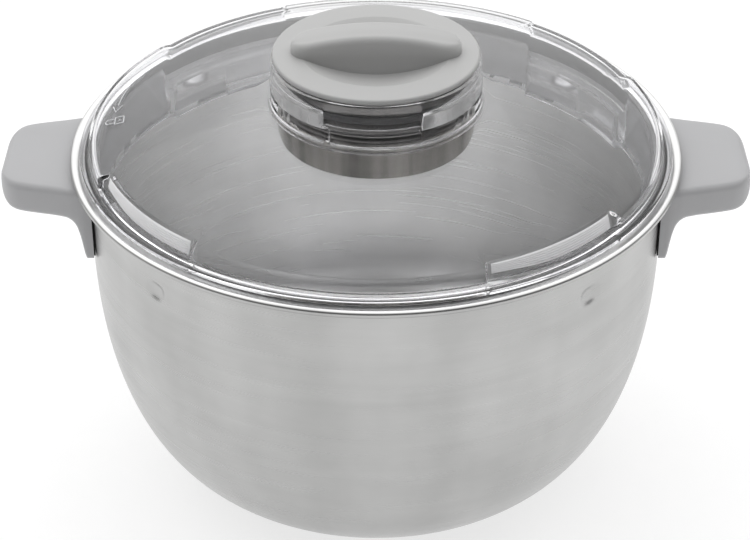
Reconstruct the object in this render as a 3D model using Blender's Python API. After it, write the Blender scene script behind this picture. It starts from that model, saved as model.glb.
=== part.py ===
"""Lidded stainless steel cooking bowl with two side handles and a twist-lock lid.

The bowl stands on its base at z = 0. The handles lie along X, the front is -Y and +Z is up.
The lid drops in with its pockets over the bowl's four pressed lugs and locks by turning
anticlockwise. The cap in the middle of the lid drops into the collar and locks clockwise.
"""
import math

import bmesh
import bpy
from mathutils import Matrix, Vector

MM = 0.001

# Bowl (millimetres)
RIM_HEIGHT = 148.0
RIM_RADIUS = 125.0
BOWL_RADIUS = 118.2
BOWL_SHEET = 1.2
BOWL_FLOOR = 3.8
BOWL_FLAT_RADIUS = 64.0
BOWL_CURVE_HEIGHT = 113.0
BOWL_CURVE_POWER = 2.21
BEAD_RADIUS = 1.5

# Four lugs pressed inwards from the bowl's wall
LUG_COUNT = 4
LUG_ANGLE = 44.0
LUG_HALF_WIDTH = 8.6
LUG_HALF_HEIGHT = 4.6
LUG_DEPTH = 4.0
LUG_HEIGHT = RIM_HEIGHT - 17.5

# Base disc under the bowl
BASE_RADIUS = 57.5
BASE_SHEET = 1.0
BASE_TOP = 3.5

# Side handles
SEAT_RADIUS = 119.25
PLATE_BOTTOM = RIM_HEIGHT - 36.0
HANDLE_TOP = RIM_HEIGHT - 3.4
EAR_BOTTOM = RIM_HEIGHT - 16.9
PAD_INNER = 118.45
PAD_OUTER = 119.0
PAD_HALF_ANGLE = 14.9
PAD_WINDOW_HALF_ANGLE = 7.0
WELD_OUTER = 119.75
WELD_HALF_ANGLE = 6.6
WELD_BOTTOM = RIM_HEIGHT - 30.0
TONGUE_BOTTOM = RIM_HEIGHT - 9.5
TONGUE_TOP = RIM_HEIGHT - 7.7
TONGUE_END = 146.5
TONGUE_HALF_WIDTH = 13.5
SCREW_X = 141.0
SCREW_Y = 10.5
SCREW_RADIUS = 1.9
SCREW_HEAD_RADIUS = 3.6
SCREW_HOLE_RADIUS = 2.2
COVER_THICKNESS = 2.7
COVER_HALF_X = 6.0
COVER_HALF_Y = 15.5

# Lid
DOME_RADIUS = 441.0
COLLAR_RADIUS = 43.25
COLLAR_BORE = 41.2
COLLAR_TOP = RIM_HEIGHT + 41.0
COLLAR_FOOT = RIM_HEIGHT + 22.9
LID_SHEET = 2.0
DOME_EDGE_RADIUS = 117.0
FLANGE_RADIUS = 121.0
FLANGE_TOP = RIM_HEIGHT + 3.4
FLANGE_BOTTOM = RIM_HEIGHT + 1.8
STEP_RADIUS = 117.3
SKIRT_RADIUS = 115.2
SKIRT_POCKET_RADIUS = 111.6
SKIRT_BOTTOM = RIM_HEIGHT - 25.2
POCKET_TOP_RADIUS = 112.6
POCKET_FOOT_RADIUS = 114.4
POCKET_LEDGE = RIM_HEIGHT + 3.9
POCKET_START = 21.0
POCKET_END = 53.0
CATCH_END = 36.5
POCKET_BLEND = 0.6

# Lid seal, a sleeve round the skirt
SEAL_INNER = 115.8
SEAL_OUTER = 116.5
SEAL_BOTTOM = RIM_HEIGHT - 6.0
SEAL_TOP = RIM_HEIGHT + 1.0

# Bayonet between the collar and the cup
RAIL_COUNT = 3
RAIL_START = 1.0
RAIL_END = 54.5
RAIL_DEPTH = 1.2
RAIL_BOTTOM = RIM_HEIGHT + 28.3
RAIL_TOP = RIM_HEIGHT + 30.3
STOP_WIDTH = 2.5
TAB_ANGLE = 61.0
TAB_HALF_ANGLE = 4.0
TAB_DEPTH = 1.3

# Cap seal, a ring between the cup and the collar
CAP_SEAL_INNER = 39.9
CAP_SEAL_OUTER = 40.8
CAP_SEAL_BOTTOM = RIM_HEIGHT + 32.4
CAP_SEAL_TOP = RIM_HEIGHT + 35.4

# Cup and cap
CUP_RADIUS = 39.5
CUP_BOTTOM = RIM_HEIGHT + 6.5
CUP_FLOOR = RIM_HEIGHT + 32.8
CUP_TOP = RIM_HEIGHT + 40.9
CAP_RADIUS = 41.7
CAP_TOP = RIM_HEIGHT + 43.7
CAP_UNDERSIDE = RIM_HEIGHT + 41.4
DISH_DEPTH = 7.0
DISH_RADIUS = 29.5
GRIP_HALF_LENGTH = 34.3
GRIP_HALF_WIDTH = 8.0
GRIP_END_HALF_WIDTH = 2.7
GRIP_TAPER_FROM = 26.0
GRIP_TOP = CAP_TOP + 9.7
GRIP_END_TOP = CAP_TOP + 4.4

TURN_STEPS = 48
GAP = 0.3

STEEL = ("steel", (0.60, 0.60, 0.60), 0.32, 1.0, 1.0)
ALUMINIUM = ("aluminium", (0.72, 0.72, 0.73), 0.40, 1.0, 1.0)
GREY_PLASTIC = ("grey_plastic", (0.52, 0.52, 0.52), 0.45, 0.0, 1.0)
CLEAR_PLASTIC = ("clear_plastic", (0.90, 0.91, 0.93), 0.05, 0.0, 0.35)
SMOKY_PLASTIC = ("smoky_plastic", (0.42, 0.41, 0.40), 0.12, 0.0, 0.75)
SILICONE = ("silicone", (0.82, 0.82, 0.82), 0.50, 0.0, 0.8)
BLACK_RUBBER = ("black_rubber", (0.03, 0.03, 0.03), 0.60, 0.0, 1.0)


def clear_scene():
    for item in list(bpy.data.objects):
        bpy.data.objects.remove(item, do_unlink=True)


def get_material(finish):
    name, colour, roughness, metallic, alpha = finish
    material = bpy.data.materials.get(name)
    if material is None:
        material = bpy.data.materials.new(name)
        material.use_nodes = True
        shader = material.node_tree.nodes["Principled BSDF"]
        shader.inputs["Base Color"].default_value = (*colour, 1.0)
        shader.inputs["Roughness"].default_value = roughness
        shader.inputs["Metallic"].default_value = metallic
        shader.inputs["Alpha"].default_value = alpha
    return material


def add_object(name, mesh_builder, finish, parent=None):
    """Turn a bmesh in millimetres into an object in metres, closed and facing out."""
    bmesh.ops.scale(mesh_builder, vec=(MM, MM, MM), verts=mesh_builder.verts)
    bmesh.ops.recalc_face_normals(mesh_builder, faces=mesh_builder.faces)
    mesh = bpy.data.meshes.new(name)
    mesh_builder.to_mesh(mesh)
    mesh_builder.free()
    mesh.shade_smooth()
    mesh.set_sharp_from_angle(angle=math.radians(30))
    item = bpy.data.objects.new(name, mesh)
    bpy.context.scene.collection.objects.link(item)
    if finish is not None:
        mesh.materials.append(get_material(finish))
    if parent is not None:
        item.parent = parent
    return item


def add_empty(name, height, parent=None):
    """An empty on the vertical axis, which carries the pieces of one moving body."""
    empty = bpy.data.objects.new(name, None)
    bpy.context.scene.collection.objects.link(empty)
    empty.location = (0, 0, height * MM)
    if parent is not None:
        empty.parent = parent
    return empty


def hold_in_place(item, parent):
    """Parent a piece to an empty and leave it where it was made."""
    bpy.context.view_layer.update()
    item.parent = parent
    item.matrix_parent_inverse = parent.matrix_world.inverted()


def round_corners(corners, steps):
    """Outline from (radius, height, rounding) corners; a rounded corner has steps + 1 points."""
    points = []
    count = len(corners)
    for index, (r, z, rounding) in enumerate(corners):
        here = Vector((r, z))
        if rounding == 0:
            points.append(here)
            continue
        before = Vector(corners[index - 1][:2]) - here
        after = Vector(corners[(index + 1) % count][:2]) - here
        half_angle = before.angle(after) / 2
        setback = min(rounding / math.tan(half_angle), before.length * 0.49, after.length * 0.49)
        start = here + before.normalized() * setback
        end = here + after.normalized() * setback
        for step in range(steps + 1):
            t = step / steps
            points.append(start * (1 - t) ** 2 + here * 2 * t * (1 - t) + end * t ** 2)
    return [tuple(point) for point in points]


def even_angles(extra=(), clearance=1.6):
    """Even angles round the turn in degrees, giving way to the extra ones."""
    wanted = sorted(angle % 360 for angle in extra)
    angles = list(wanted)
    for step in range(TURN_STEPS):
        angle = 360 * step / TURN_STEPS
        if all(abs((angle - other + 180) % 360 - 180) > clearance for other in wanted):
            angles.append(angle)
    return sorted(angles)


def turned(section, angles):
    """Mesh swept round Z; section(angle) gives its (radius, height) points at each angle.

    A section that starts and ends on the axis closes there; any other is a loop.
    """
    mesh_builder = bmesh.new()
    first = section(angles[0])
    on_axis = first[0][0] == 0 and first[-1][0] == 0
    poles = {}
    if on_axis:
        for index in (0, len(first) - 1):
            poles[index] = mesh_builder.verts.new((0, 0, first[index][1]))
    rows = []
    for angle in angles:
        turn = math.radians(angle)
        row = []
        for index, (r, z) in enumerate(section(angle)):
            if index in poles:
                row.append(poles[index])
            else:
                row.append(mesh_builder.verts.new((r * math.cos(turn), r * math.sin(turn), z)))
        rows.append(row)
    last = len(first) - 1 if on_axis else len(first)
    for index, row in enumerate(rows):
        other = rows[(index + 1) % len(rows)]
        for step in range(last):
            corner = (step + 1) % len(first)
            quad = [row[step], other[step], other[corner], row[corner]]
            mesh_builder.faces.new(list(dict.fromkeys(quad)))
    return mesh_builder


def turned_piece(name, corners, finish, parent=None, steps=3, angles=None):
    outline = round_corners(corners, steps)
    mesh_builder = turned(lambda angle: outline, angles or even_angles())
    return add_object(name, mesh_builder, finish, parent)


def boolean(item, cutter, operation):
    """Cut or join with a second solid and bake the result into the mesh."""
    cutter.hide_render = True
    cutter.display_type = "WIRE"
    modifier = item.modifiers.new(operation.lower(), "BOOLEAN")
    modifier.operation = operation
    modifier.solver = "EXACT"
    modifier.object = cutter
    bpy.context.view_layer.update()
    evaluated = item.evaluated_get(bpy.context.evaluated_depsgraph_get())
    mesh = bpy.data.meshes.new_from_object(evaluated)
    item.modifiers.clear()
    old_mesh = item.data
    item.data = mesh
    bpy.data.meshes.remove(old_mesh)
    bpy.data.objects.remove(cutter, do_unlink=True)


def solid_box(low, high, corner=0.0):
    """Box between two corners, its four upright edges rounded by corner."""
    mesh_builder = bmesh.new()
    bmesh.ops.create_cube(mesh_builder, size=1)
    centre = (Vector(low) + Vector(high)) / 2
    bmesh.ops.scale(mesh_builder, vec=Vector(high) - Vector(low), verts=mesh_builder.verts)
    bmesh.ops.translate(mesh_builder, vec=centre, verts=mesh_builder.verts)
    if corner > 0:
        upright = []
        for edge in mesh_builder.edges:
            run = edge.verts[0].co - edge.verts[1].co
            if abs(run.x) + abs(run.y) < 1e-6:
                upright.append(edge)
        bmesh.ops.bevel(mesh_builder, geom=upright, offset=corner, segments=4, profile=0.5,
                        affect="EDGES")
    return mesh_builder


def solid_rod(centre, radius, bottom, top, sides=16):
    mesh_builder = bmesh.new()
    bmesh.ops.create_cone(mesh_builder, cap_ends=True, segments=sides, radius1=radius,
                          radius2=radius, depth=top - bottom)
    place = Matrix.Translation((centre[0], centre[1], (bottom + top) / 2))
    bmesh.ops.transform(mesh_builder, matrix=place, verts=mesh_builder.verts)
    return mesh_builder


def solid_sector(inner, outer, half_angle, bottom, top, steps=10):
    """Part of a thick tube, centred on +X."""
    mesh_builder = bmesh.new()
    rows = []
    for step in range(steps + 1):
        turn = math.radians(half_angle) * (2 * step / steps - 1)
        row = []
        for r, z in ((inner, bottom), (outer, bottom), (outer, top), (inner, top)):
            row.append(mesh_builder.verts.new((r * math.cos(turn), r * math.sin(turn), z)))
        rows.append(row)
    for row, other in zip(rows, rows[1:]):
        for side in range(4):
            after = (side + 1) % 4
            mesh_builder.faces.new((row[side], other[side], other[after], row[after]))
    mesh_builder.faces.new(rows[0])
    mesh_builder.faces.new(rows[-1])
    return mesh_builder


# Bowl

def bowl_wall(offset, count):
    """Side of the bowl from its flat floor up to where it runs straight, offset inwards."""
    points = []
    for step in range(count + 1):
        turn = math.radians(90) * (1 - step / count)
        across = math.cos(turn) ** (2 / BOWL_CURVE_POWER)
        down = math.sin(turn) ** (2 / BOWL_CURVE_POWER)
        r = BOWL_FLAT_RADIUS + (BOWL_RADIUS - BOWL_FLAT_RADIUS - offset) * across
        z = BOWL_CURVE_HEIGHT - (BOWL_CURVE_HEIGHT - BOWL_FLOOR - offset) * down
        points.append((r, z))
    return points


def pressed_in(angle, z):
    """How far a lug pushes the wall inwards at this angle and height."""
    pitch = 360 / LUG_COUNT
    away = (angle - LUG_ANGLE + pitch / 2) % pitch - pitch / 2
    across = math.radians(away) * BOWL_RADIUS / LUG_HALF_WIDTH
    along = (z - LUG_HEIGHT) / LUG_HALF_HEIGHT
    reach = across ** 4 + along ** 4
    return LUG_DEPTH * max(0.0, 1 - reach) ** 0.5 if reach < 1 else 0.0


def lug_heights():
    return [LUG_HEIGHT + LUG_HALF_HEIGHT * part for part in (-1.0, -0.75, 0.0, 0.75, 1.0)]


def bowl_section(angle):
    wall_steps = 7
    outside = [(0, BOWL_FLOOR)] + bowl_wall(0, wall_steps)
    for z in lug_heights():
        outside.append((BOWL_RADIUS - pressed_in(angle, z), z))
    inner_radius = BOWL_RADIUS - BOWL_SHEET
    bead = RIM_RADIUS - BEAD_RADIUS
    rim = [
        (BOWL_RADIUS, RIM_HEIGHT - 1.6),
        (bead - 1.0, RIM_HEIGHT - 0.6),
        (bead, RIM_HEIGHT - BEAD_RADIUS),
        (RIM_RADIUS - 0.4, RIM_HEIGHT - 1.0),
        (RIM_RADIUS, RIM_HEIGHT),
        (RIM_RADIUS - 0.4, RIM_HEIGHT + 1.0),
        (bead, RIM_HEIGHT + BEAD_RADIUS),
        (bead - 1.5, RIM_HEIGHT + 0.6),
        (BOWL_RADIUS + 0.6, RIM_HEIGHT + 0.3),
        (inner_radius, RIM_HEIGHT - 1.6),
    ]
    inside = []
    for z in reversed(lug_heights()):
        inside.append((inner_radius - pressed_in(angle, z), z))
    inside += list(reversed(bowl_wall(BOWL_SHEET, wall_steps)))
    inside.append((0, BOWL_FLOOR + BOWL_SHEET))
    return outside + rim + inside


def make_bowl():
    extra = []
    for lug in range(LUG_COUNT):
        centre = LUG_ANGLE + 360 * lug / LUG_COUNT
        half = math.degrees(LUG_HALF_WIDTH / BOWL_RADIUS)
        extra += [centre + half * part for part in (-1.0, -0.75, 0.0, 0.75, 1.0)]
    add_object("bowl_shell", turned(bowl_section, even_angles(extra)), STEEL)


def make_base():
    disc = [
        (0, BASE_SHEET + GAP, 0),
        (BASE_RADIUS - BASE_SHEET - 0.9, BASE_SHEET + GAP, 0),
        (BASE_RADIUS - BASE_SHEET - GAP, BASE_SHEET + 1.0, 0),
        (BASE_RADIUS - BASE_SHEET - GAP, BASE_TOP, 0),
        (0, BASE_TOP, 0),
    ]
    turned_piece("base_disc", disc, ALUMINIUM)
    cap = [
        (0, 0, 0),
        (BASE_RADIUS - 1.5, 0, 0),
        (BASE_RADIUS, 1.5, 0),
        (BASE_RADIUS, BASE_TOP, 0),
        (BASE_RADIUS - BASE_SHEET, BASE_TOP, 0),
        (BASE_RADIUS - BASE_SHEET, 1.8, 0),
        (BASE_RADIUS - BASE_SHEET - 0.8, BASE_SHEET, 0),
        (0, BASE_SHEET, 0),
    ]
    turned_piece("base_cap", cap, STEEL)


# Handles, made on +X and turned half a turn for the left one

# Distance out from the seat, share of the seat's curve, bottom, top, half width
GRIP_STATIONS = (
    (0.0, 1.00, -36.0, -3.4, 32.0),
    (2.5, 1.00, -36.0, -3.4, 32.0),
    (3.2, 1.00, -34.4, -3.4, 32.0),
    (3.9, 0.96, -29.0, -3.4, 31.9),
    (4.6, 0.92, -24.2, -3.4, 31.8),
    (5.4, 0.85, -20.6, -3.4, 31.6),
    (6.6, 0.74, -18.3, -3.4, 31.3),
    (8.6, 0.60, -17.1, -3.4, 30.6),
    (12.5, 0.30, -16.9, -3.4, 29.2),
    (17.2, 0.05, -16.9, -3.4, 27.9),
    (22.8, 0.00, -16.9, -3.4, 26.4),
    (26.3, 0.00, -16.8, -3.4, 25.2),
    (29.2, 0.00, -16.5, -3.5, 23.2),
    (31.3, 0.00, -15.8, -3.9, 20.4),
    (32.8, 0.00, -14.7, -4.7, 17.2),
    (33.8, 0.00, -13.2, -6.0, 13.4),
    (34.25, 0.00, -11.6, -7.6, 9.6),
)
GRIP_SIDE_STEPS = 10
GRIP_SIDE_POWER = 7.0


def grip_loop(station):
    """Closed loop of points round the handle at one distance out from the bowl."""
    out, curved, bottom, top, half_width = station
    middle = RIM_HEIGHT + (bottom + top) / 2
    half_height = (top - bottom) / 2
    upper, lower = [], []
    for step in range(GRIP_SIDE_STEPS + 1):
        side = math.sin(math.radians(90) * (2 * step / GRIP_SIDE_STEPS - 1))
        y = half_width * side
        seat_x = math.sqrt(SEAT_RADIUS ** 2 - y ** 2)
        x = out + seat_x * curved + SEAT_RADIUS * (1 - curved)
        rise = half_height * (1 - abs(side) ** GRIP_SIDE_POWER) ** (1 / GRIP_SIDE_POWER)
        upper.append((x, y, middle + rise))
        lower.append((x, y, middle - rise))
    return upper + lower[-2:0:-1]


def grip_body():
    mesh_builder = bmesh.new()
    loops = []
    for station in GRIP_STATIONS:
        loops.append([mesh_builder.verts.new(point) for point in grip_loop(station)])
    count = len(loops[0])
    for loop, other in zip(loops, loops[1:]):
        for index in range(count):
            after = (index + 1) % count
            mesh_builder.faces.new((loop[index], loop[after], other[after], other[index]))
    for loop in (loops[0], loops[-1]):
        for step in range(GRIP_SIDE_STEPS):
            quad = [loop[step], loop[step + 1], loop[(count - step - 1) % count], loop[-step % count]]
            mesh_builder.faces.new(list(dict.fromkeys(quad)))
    return mesh_builder


def cover_box(grow, bottom, top):
    return solid_box((SCREW_X - COVER_HALF_X - grow, -COVER_HALF_Y - grow, bottom),
                     (SCREW_X + COVER_HALF_X + grow, COVER_HALF_Y + grow, top), corner=3.0)


def make_grip(side, parent):
    grip = add_object(side + "_handle_grip", grip_body(), GREY_PLASTIC, parent)
    slot = solid_box((SEAT_RADIUS - 8, -TONGUE_HALF_WIDTH - 0.5, TONGUE_BOTTOM - GAP),
                     (TONGUE_END + 0.5, TONGUE_HALF_WIDTH + 0.5, TONGUE_TOP + GAP))
    boolean(grip, add_object("slot_cutter", slot, None, parent), "DIFFERENCE")
    plate_room = solid_sector(SEAT_RADIUS - 3, WELD_OUTER + GAP, PAD_WINDOW_HALF_ANGLE,
                              WELD_BOTTOM - GAP, TONGUE_TOP + GAP + 0.1, steps=6)
    boolean(grip, add_object("plate_cutter", plate_room, None, parent), "DIFFERENCE")
    recess = cover_box(GAP, EAR_BOTTOM - 5, EAR_BOTTOM + COVER_THICKNESS + GAP)
    boolean(grip, add_object("recess_cutter", recess, None, parent), "DIFFERENCE")
    for end in (-1, 1):
        hole = solid_rod((SCREW_X, end * SCREW_Y), SCREW_HOLE_RADIUS + 0.1, EAR_BOTTOM + 1,
                         TONGUE_TOP + 2.1)
        boolean(grip, add_object("hole_cutter", hole, None, parent), "DIFFERENCE")
    return grip


def make_cover(side, parent):
    plate = cover_box(0, EAR_BOTTOM, EAR_BOTTOM + COVER_THICKNESS)
    cover = add_object(side + "_handle_cover", plate, GREY_PLASTIC, parent)
    for end in (-1, 1):
        head = solid_rod((SCREW_X, end * SCREW_Y), SCREW_HEAD_RADIUS + GAP, EAR_BOTTOM - 1,
                         EAR_BOTTOM + 1.6)
        boolean(cover, add_object("head_cutter", head, None, parent), "DIFFERENCE")
        shank = solid_rod((SCREW_X, end * SCREW_Y), SCREW_HOLE_RADIUS, EAR_BOTTOM + 1,
                          EAR_BOTTOM + 4)
        boolean(cover, add_object("shank_cutter", shank, None, parent), "DIFFERENCE")
    return cover


def make_bracket(side, parent):
    weld_plate = solid_sector(PAD_INNER, WELD_OUTER, WELD_HALF_ANGLE, WELD_BOTTOM, TONGUE_TOP,
                              steps=6)
    bracket = add_object(side + "_handle_bracket", weld_plate, STEEL, parent)
    tongue = solid_box((PAD_INNER + 0.1, -TONGUE_HALF_WIDTH, TONGUE_BOTTOM),
                       (TONGUE_END, TONGUE_HALF_WIDTH, TONGUE_TOP - 0.01))
    boolean(bracket, add_object("tongue_piece", tongue, None, parent), "UNION")
    for end in (-1, 1):
        hole = solid_rod((SCREW_X, end * SCREW_Y), SCREW_HOLE_RADIUS, TONGUE_BOTTOM - 1,
                         TONGUE_TOP + 1)
        boolean(bracket, add_object("thread_cutter", hole, None, parent), "DIFFERENCE")
    return bracket


def make_gasket(side, parent):
    pad = solid_sector(PAD_INNER, PAD_OUTER, PAD_HALF_ANGLE, PLATE_BOTTOM + 1.6,
                       HANDLE_TOP - 0.8, steps=12)
    gasket = add_object(side + "_handle_gasket", pad, BLACK_RUBBER, parent)
    window = solid_sector(PAD_INNER - 3, PAD_OUTER + 3, PAD_WINDOW_HALF_ANGLE, WELD_BOTTOM - 0.5,
                          TONGUE_TOP + 0.5, steps=6)
    boolean(gasket, add_object("window_cutter", window, None, parent), "DIFFERENCE")
    return gasket


def make_screw(side, place, end, parent):
    """Low-head screw from below, its head sunk in the cover and its end past the bracket."""
    profile = [
        (0, EAR_BOTTOM + 0.1, 0),
        (SCREW_HEAD_RADIUS - 0.2, EAR_BOTTOM + 0.1, 0),
        (SCREW_HEAD_RADIUS, EAR_BOTTOM + 0.3, 0),
        (SCREW_HEAD_RADIUS, EAR_BOTTOM + 1.3, 0),
        (SCREW_RADIUS, EAR_BOTTOM + 1.3, 0),
        (SCREW_RADIUS, TONGUE_TOP + 1.0, 0),
        (SCREW_RADIUS - 0.5, TONGUE_TOP + 1.6, 0),
        (0, TONGUE_TOP + 1.6, 0),
    ]
    angles = [30 * step for step in range(12)]
    mesh_builder = turned(lambda angle: [corner[:2] for corner in profile], angles)
    bmesh.ops.translate(mesh_builder, vec=(SCREW_X, end * SCREW_Y, 0), verts=mesh_builder.verts)
    return add_object(side + "_handle_screw_" + place, mesh_builder, STEEL, parent)


def make_handle(side, turn):
    """Every piece of one handle, parented to an empty on the bowl's axis that turns them."""
    pivot = add_empty(side + "_handle_pivot", 0)
    make_grip(side, pivot)
    make_cover(side, pivot)
    make_bracket(side, pivot)
    make_gasket(side, pivot)
    near, far = ("front", "back") if turn == 0 else ("back", "front")
    make_screw(side, near, -1, pivot)
    make_screw(side, far, 1, pivot)
    pivot.rotation_euler = (0, 0, turn)


# Lid

def dome(r):
    return COLLAR_FOOT - (r ** 2 - COLLAR_RADIUS ** 2) / (2 * DOME_RADIUS)


def ramp(angle, start, end, pitch):
    """One between the start and end angles of each repeat, and nothing outside them."""
    middle = (start + end) / 2
    away = abs((angle - middle + pitch / 2) % pitch - pitch / 2)
    reach = (away - (end - start) / 2) / (2 * POCKET_BLEND) + 0.5
    return min(1.0, max(0.0, 1 - reach))


def lid_section(angle):
    pocket = ramp(angle, POCKET_START, POCKET_END, 360 / LUG_COUNT)
    catch = ramp(angle, POCKET_START, CATCH_END, 360 / LUG_COUNT)
    rail = ramp(angle, RAIL_START, RAIL_END, 360 / RAIL_COUNT)
    stop = ramp(angle, RAIL_START, RAIL_START + STOP_WIDTH, 360 / RAIL_COUNT)

    def mix(plain, scooped):
        return plain + (scooped - plain) * pocket

    rail_radius = COLLAR_BORE - RAIL_DEPTH * rail
    stop_radius = COLLAR_BORE - RAIL_DEPTH * stop
    skirt = mix(SKIRT_RADIUS, SKIRT_POCKET_RADIUS)
    catch_radius = skirt + (SKIRT_RADIUS - SKIRT_POCKET_RADIUS) * catch
    edge_height = mix(dome(DOME_EDGE_RADIUS), dome(112.0))
    under = LID_SHEET
    corners = [
        (COLLAR_BORE, COLLAR_FOOT - 3.4, 0),
        (COLLAR_BORE, RAIL_BOTTOM - 5.4, 0),
        (stop_radius, RAIL_BOTTOM - 5.2, 0),
        (stop_radius, RAIL_BOTTOM - 0.1, 0),
        (rail_radius, RAIL_BOTTOM, 0),
        (rail_radius, RAIL_TOP - 0.2, 0),
        (COLLAR_BORE, RAIL_TOP, 0),
        (COLLAR_BORE, COLLAR_TOP, 0),
        (COLLAR_RADIUS - 0.65, COLLAR_TOP, 0),
        (COLLAR_RADIUS, COLLAR_FOOT, 0),
        (60, dome(60), 0),
        (80, dome(80), 0),
        (98, dome(98), 0),
        (mix(DOME_EDGE_RADIUS, POCKET_TOP_RADIUS), edge_height, mix(3.6, 1.0)),
        (mix(STEP_RADIUS - 0.1, POCKET_FOOT_RADIUS), mix(POCKET_LEDGE + 0.6, POCKET_LEDGE), 0),
        (STEP_RADIUS - 0.1, POCKET_LEDGE, 0),
        (STEP_RADIUS, FLANGE_TOP, 0),
        (FLANGE_RADIUS, FLANGE_TOP, 0),
        (FLANGE_RADIUS, FLANGE_BOTTOM, 0),
        (SKIRT_RADIUS, FLANGE_BOTTOM, 0),
        (SKIRT_RADIUS, RIM_HEIGHT - 8.0, 0),
        (skirt, RIM_HEIGHT - 9.2, 0),
        (skirt, SKIRT_BOTTOM + 3.0, 0),
        (catch_radius, SKIRT_BOTTOM + 2.6, 0),
        (catch_radius, SKIRT_BOTTOM, 0),
        (skirt - under, SKIRT_BOTTOM, 0),
        (skirt - under, RIM_HEIGHT - 9.6, 0),
        (SKIRT_RADIUS - under, RIM_HEIGHT - 7.6, 0),
        (SKIRT_RADIUS - under, FLANGE_BOTTOM + 0.6, 0),
        (mix(STEP_RADIUS, POCKET_FOOT_RADIUS) - under, FLANGE_TOP + 0.5, 0),
        (mix(DOME_EDGE_RADIUS, POCKET_TOP_RADIUS) - under, edge_height - under, mix(2.2, 1.0)),
        (98, dome(98) - under, 0),
        (80, dome(80) - under, 0),
        (60, dome(60) - under, 0),
        (COLLAR_RADIUS, dome(COLLAR_RADIUS) - under, 0),
        (COLLAR_RADIUS, COLLAR_FOOT - 3.4, 0),
    ]
    return round_corners(corners, 2)


def make_lid(parent):
    extra = []
    for pocket in range(LUG_COUNT):
        turn = 360 * pocket / LUG_COUNT
        for edge in (POCKET_START, CATCH_END, POCKET_END):
            extra += [turn + edge - POCKET_BLEND, turn + edge + POCKET_BLEND]
    for rail in range(RAIL_COUNT):
        turn = 360 * rail / RAIL_COUNT
        for edge in (RAIL_START, RAIL_START + STOP_WIDTH, RAIL_END):
            extra += [turn + edge - POCKET_BLEND, turn + edge + POCKET_BLEND]
    lid = add_object("lid_shell", turned(lid_section, even_angles(extra)), CLEAR_PLASTIC)
    hold_in_place(lid, parent)


def make_lid_seal(parent):
    sleeve = [
        (SEAL_INNER, SEAL_BOTTOM, 0),
        (SEAL_OUTER, SEAL_BOTTOM, 0),
        (SEAL_OUTER, SEAL_TOP, 0),
        (SEAL_INNER, SEAL_TOP, 0),
    ]
    seal = turned_piece("lid_seal", sleeve, SILICONE)
    hold_in_place(seal, parent)


# Cap and cup

def cup_section(angle):
    tab = ramp(angle, TAB_ANGLE - TAB_HALF_ANGLE, TAB_ANGLE + TAB_HALF_ANGLE, 360 / RAIL_COUNT)
    tab_radius = CUP_RADIUS + TAB_DEPTH * tab
    return [
        (0, CUP_FLOOR - 2.0),
        (CUP_RADIUS - 1.9, CUP_FLOOR - 2.0),
        (CUP_RADIUS - 1.9, CUP_BOTTOM),
        (CUP_RADIUS - 0.1, CUP_BOTTOM),
        (CUP_RADIUS, RAIL_BOTTOM - 4.6),
        (tab_radius, RAIL_BOTTOM - 4.4),
        (tab_radius, RAIL_BOTTOM - 0.9),
        (CUP_RADIUS, RAIL_BOTTOM - 0.7),
        (CUP_RADIUS, CUP_TOP),
        (CUP_RADIUS - 1.5, CUP_TOP),
        (CUP_RADIUS - 1.5, CUP_FLOOR),
        (0, CUP_FLOOR),
    ]


def make_cup(parent):
    extra = []
    for tab in range(RAIL_COUNT):
        for side in (-1, 1):
            edge = TAB_ANGLE + 360 * tab / RAIL_COUNT + side * TAB_HALF_ANGLE
            extra += [edge - POCKET_BLEND, edge + POCKET_BLEND]
    cup = add_object("cap_cup", turned(cup_section, even_angles(extra)), SMOKY_PLASTIC)
    hold_in_place(cup, parent)


def grip_bar():
    """Arched bar across the cap, lofted along X."""
    mesh_builder = bmesh.new()
    loops = []
    stations = 12
    bottom = CAP_TOP - DISH_DEPTH - 1.0
    for station in range(stations + 1):
        along = math.sin(math.radians(90) * (2 * station / stations - 1))
        x = GRIP_HALF_LENGTH * along
        taper = max(0.0, (abs(x) - GRIP_TAPER_FROM) / (GRIP_HALF_LENGTH - GRIP_TAPER_FROM))
        round_end = math.sqrt(max(0.0, 1 - taper ** 2))
        half_width = GRIP_END_HALF_WIDTH + (GRIP_HALF_WIDTH - GRIP_END_HALF_WIDTH) * round_end
        rise = math.cos(math.radians(90) * along) ** 0.9
        crown = GRIP_END_TOP + (GRIP_TOP - GRIP_END_TOP) * rise
        top = crown if round_end > 0.05 else crown - 1.0
        loop = [
            (x, -half_width, bottom),
            (x, -half_width, top - 2.4),
            (x, -half_width + 0.7, top - 0.9),
            (x, -half_width + 2.2, top - 0.1),
            (x, 0, top + 0.2),
            (x, half_width - 2.2, top - 0.1),
            (x, half_width - 0.7, top - 0.9),
            (x, half_width, top - 2.4),
            (x, half_width, bottom),
        ]
        loops.append([mesh_builder.verts.new(point) for point in loop])
    count = len(loops[0])
    for loop, other in zip(loops, loops[1:]):
        for index in range(count):
            after = (index + 1) % count
            mesh_builder.faces.new((loop[index], loop[after], other[after], other[index]))
    mesh_builder.faces.new(loops[0])
    mesh_builder.faces.new(loops[-1])
    return mesh_builder


def scoop_height(r):
    """Height of the finger scoop's floor at a distance from the axis."""
    return CAP_TOP - DISH_DEPTH * (1 - (r / DISH_RADIUS) ** 2)


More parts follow.
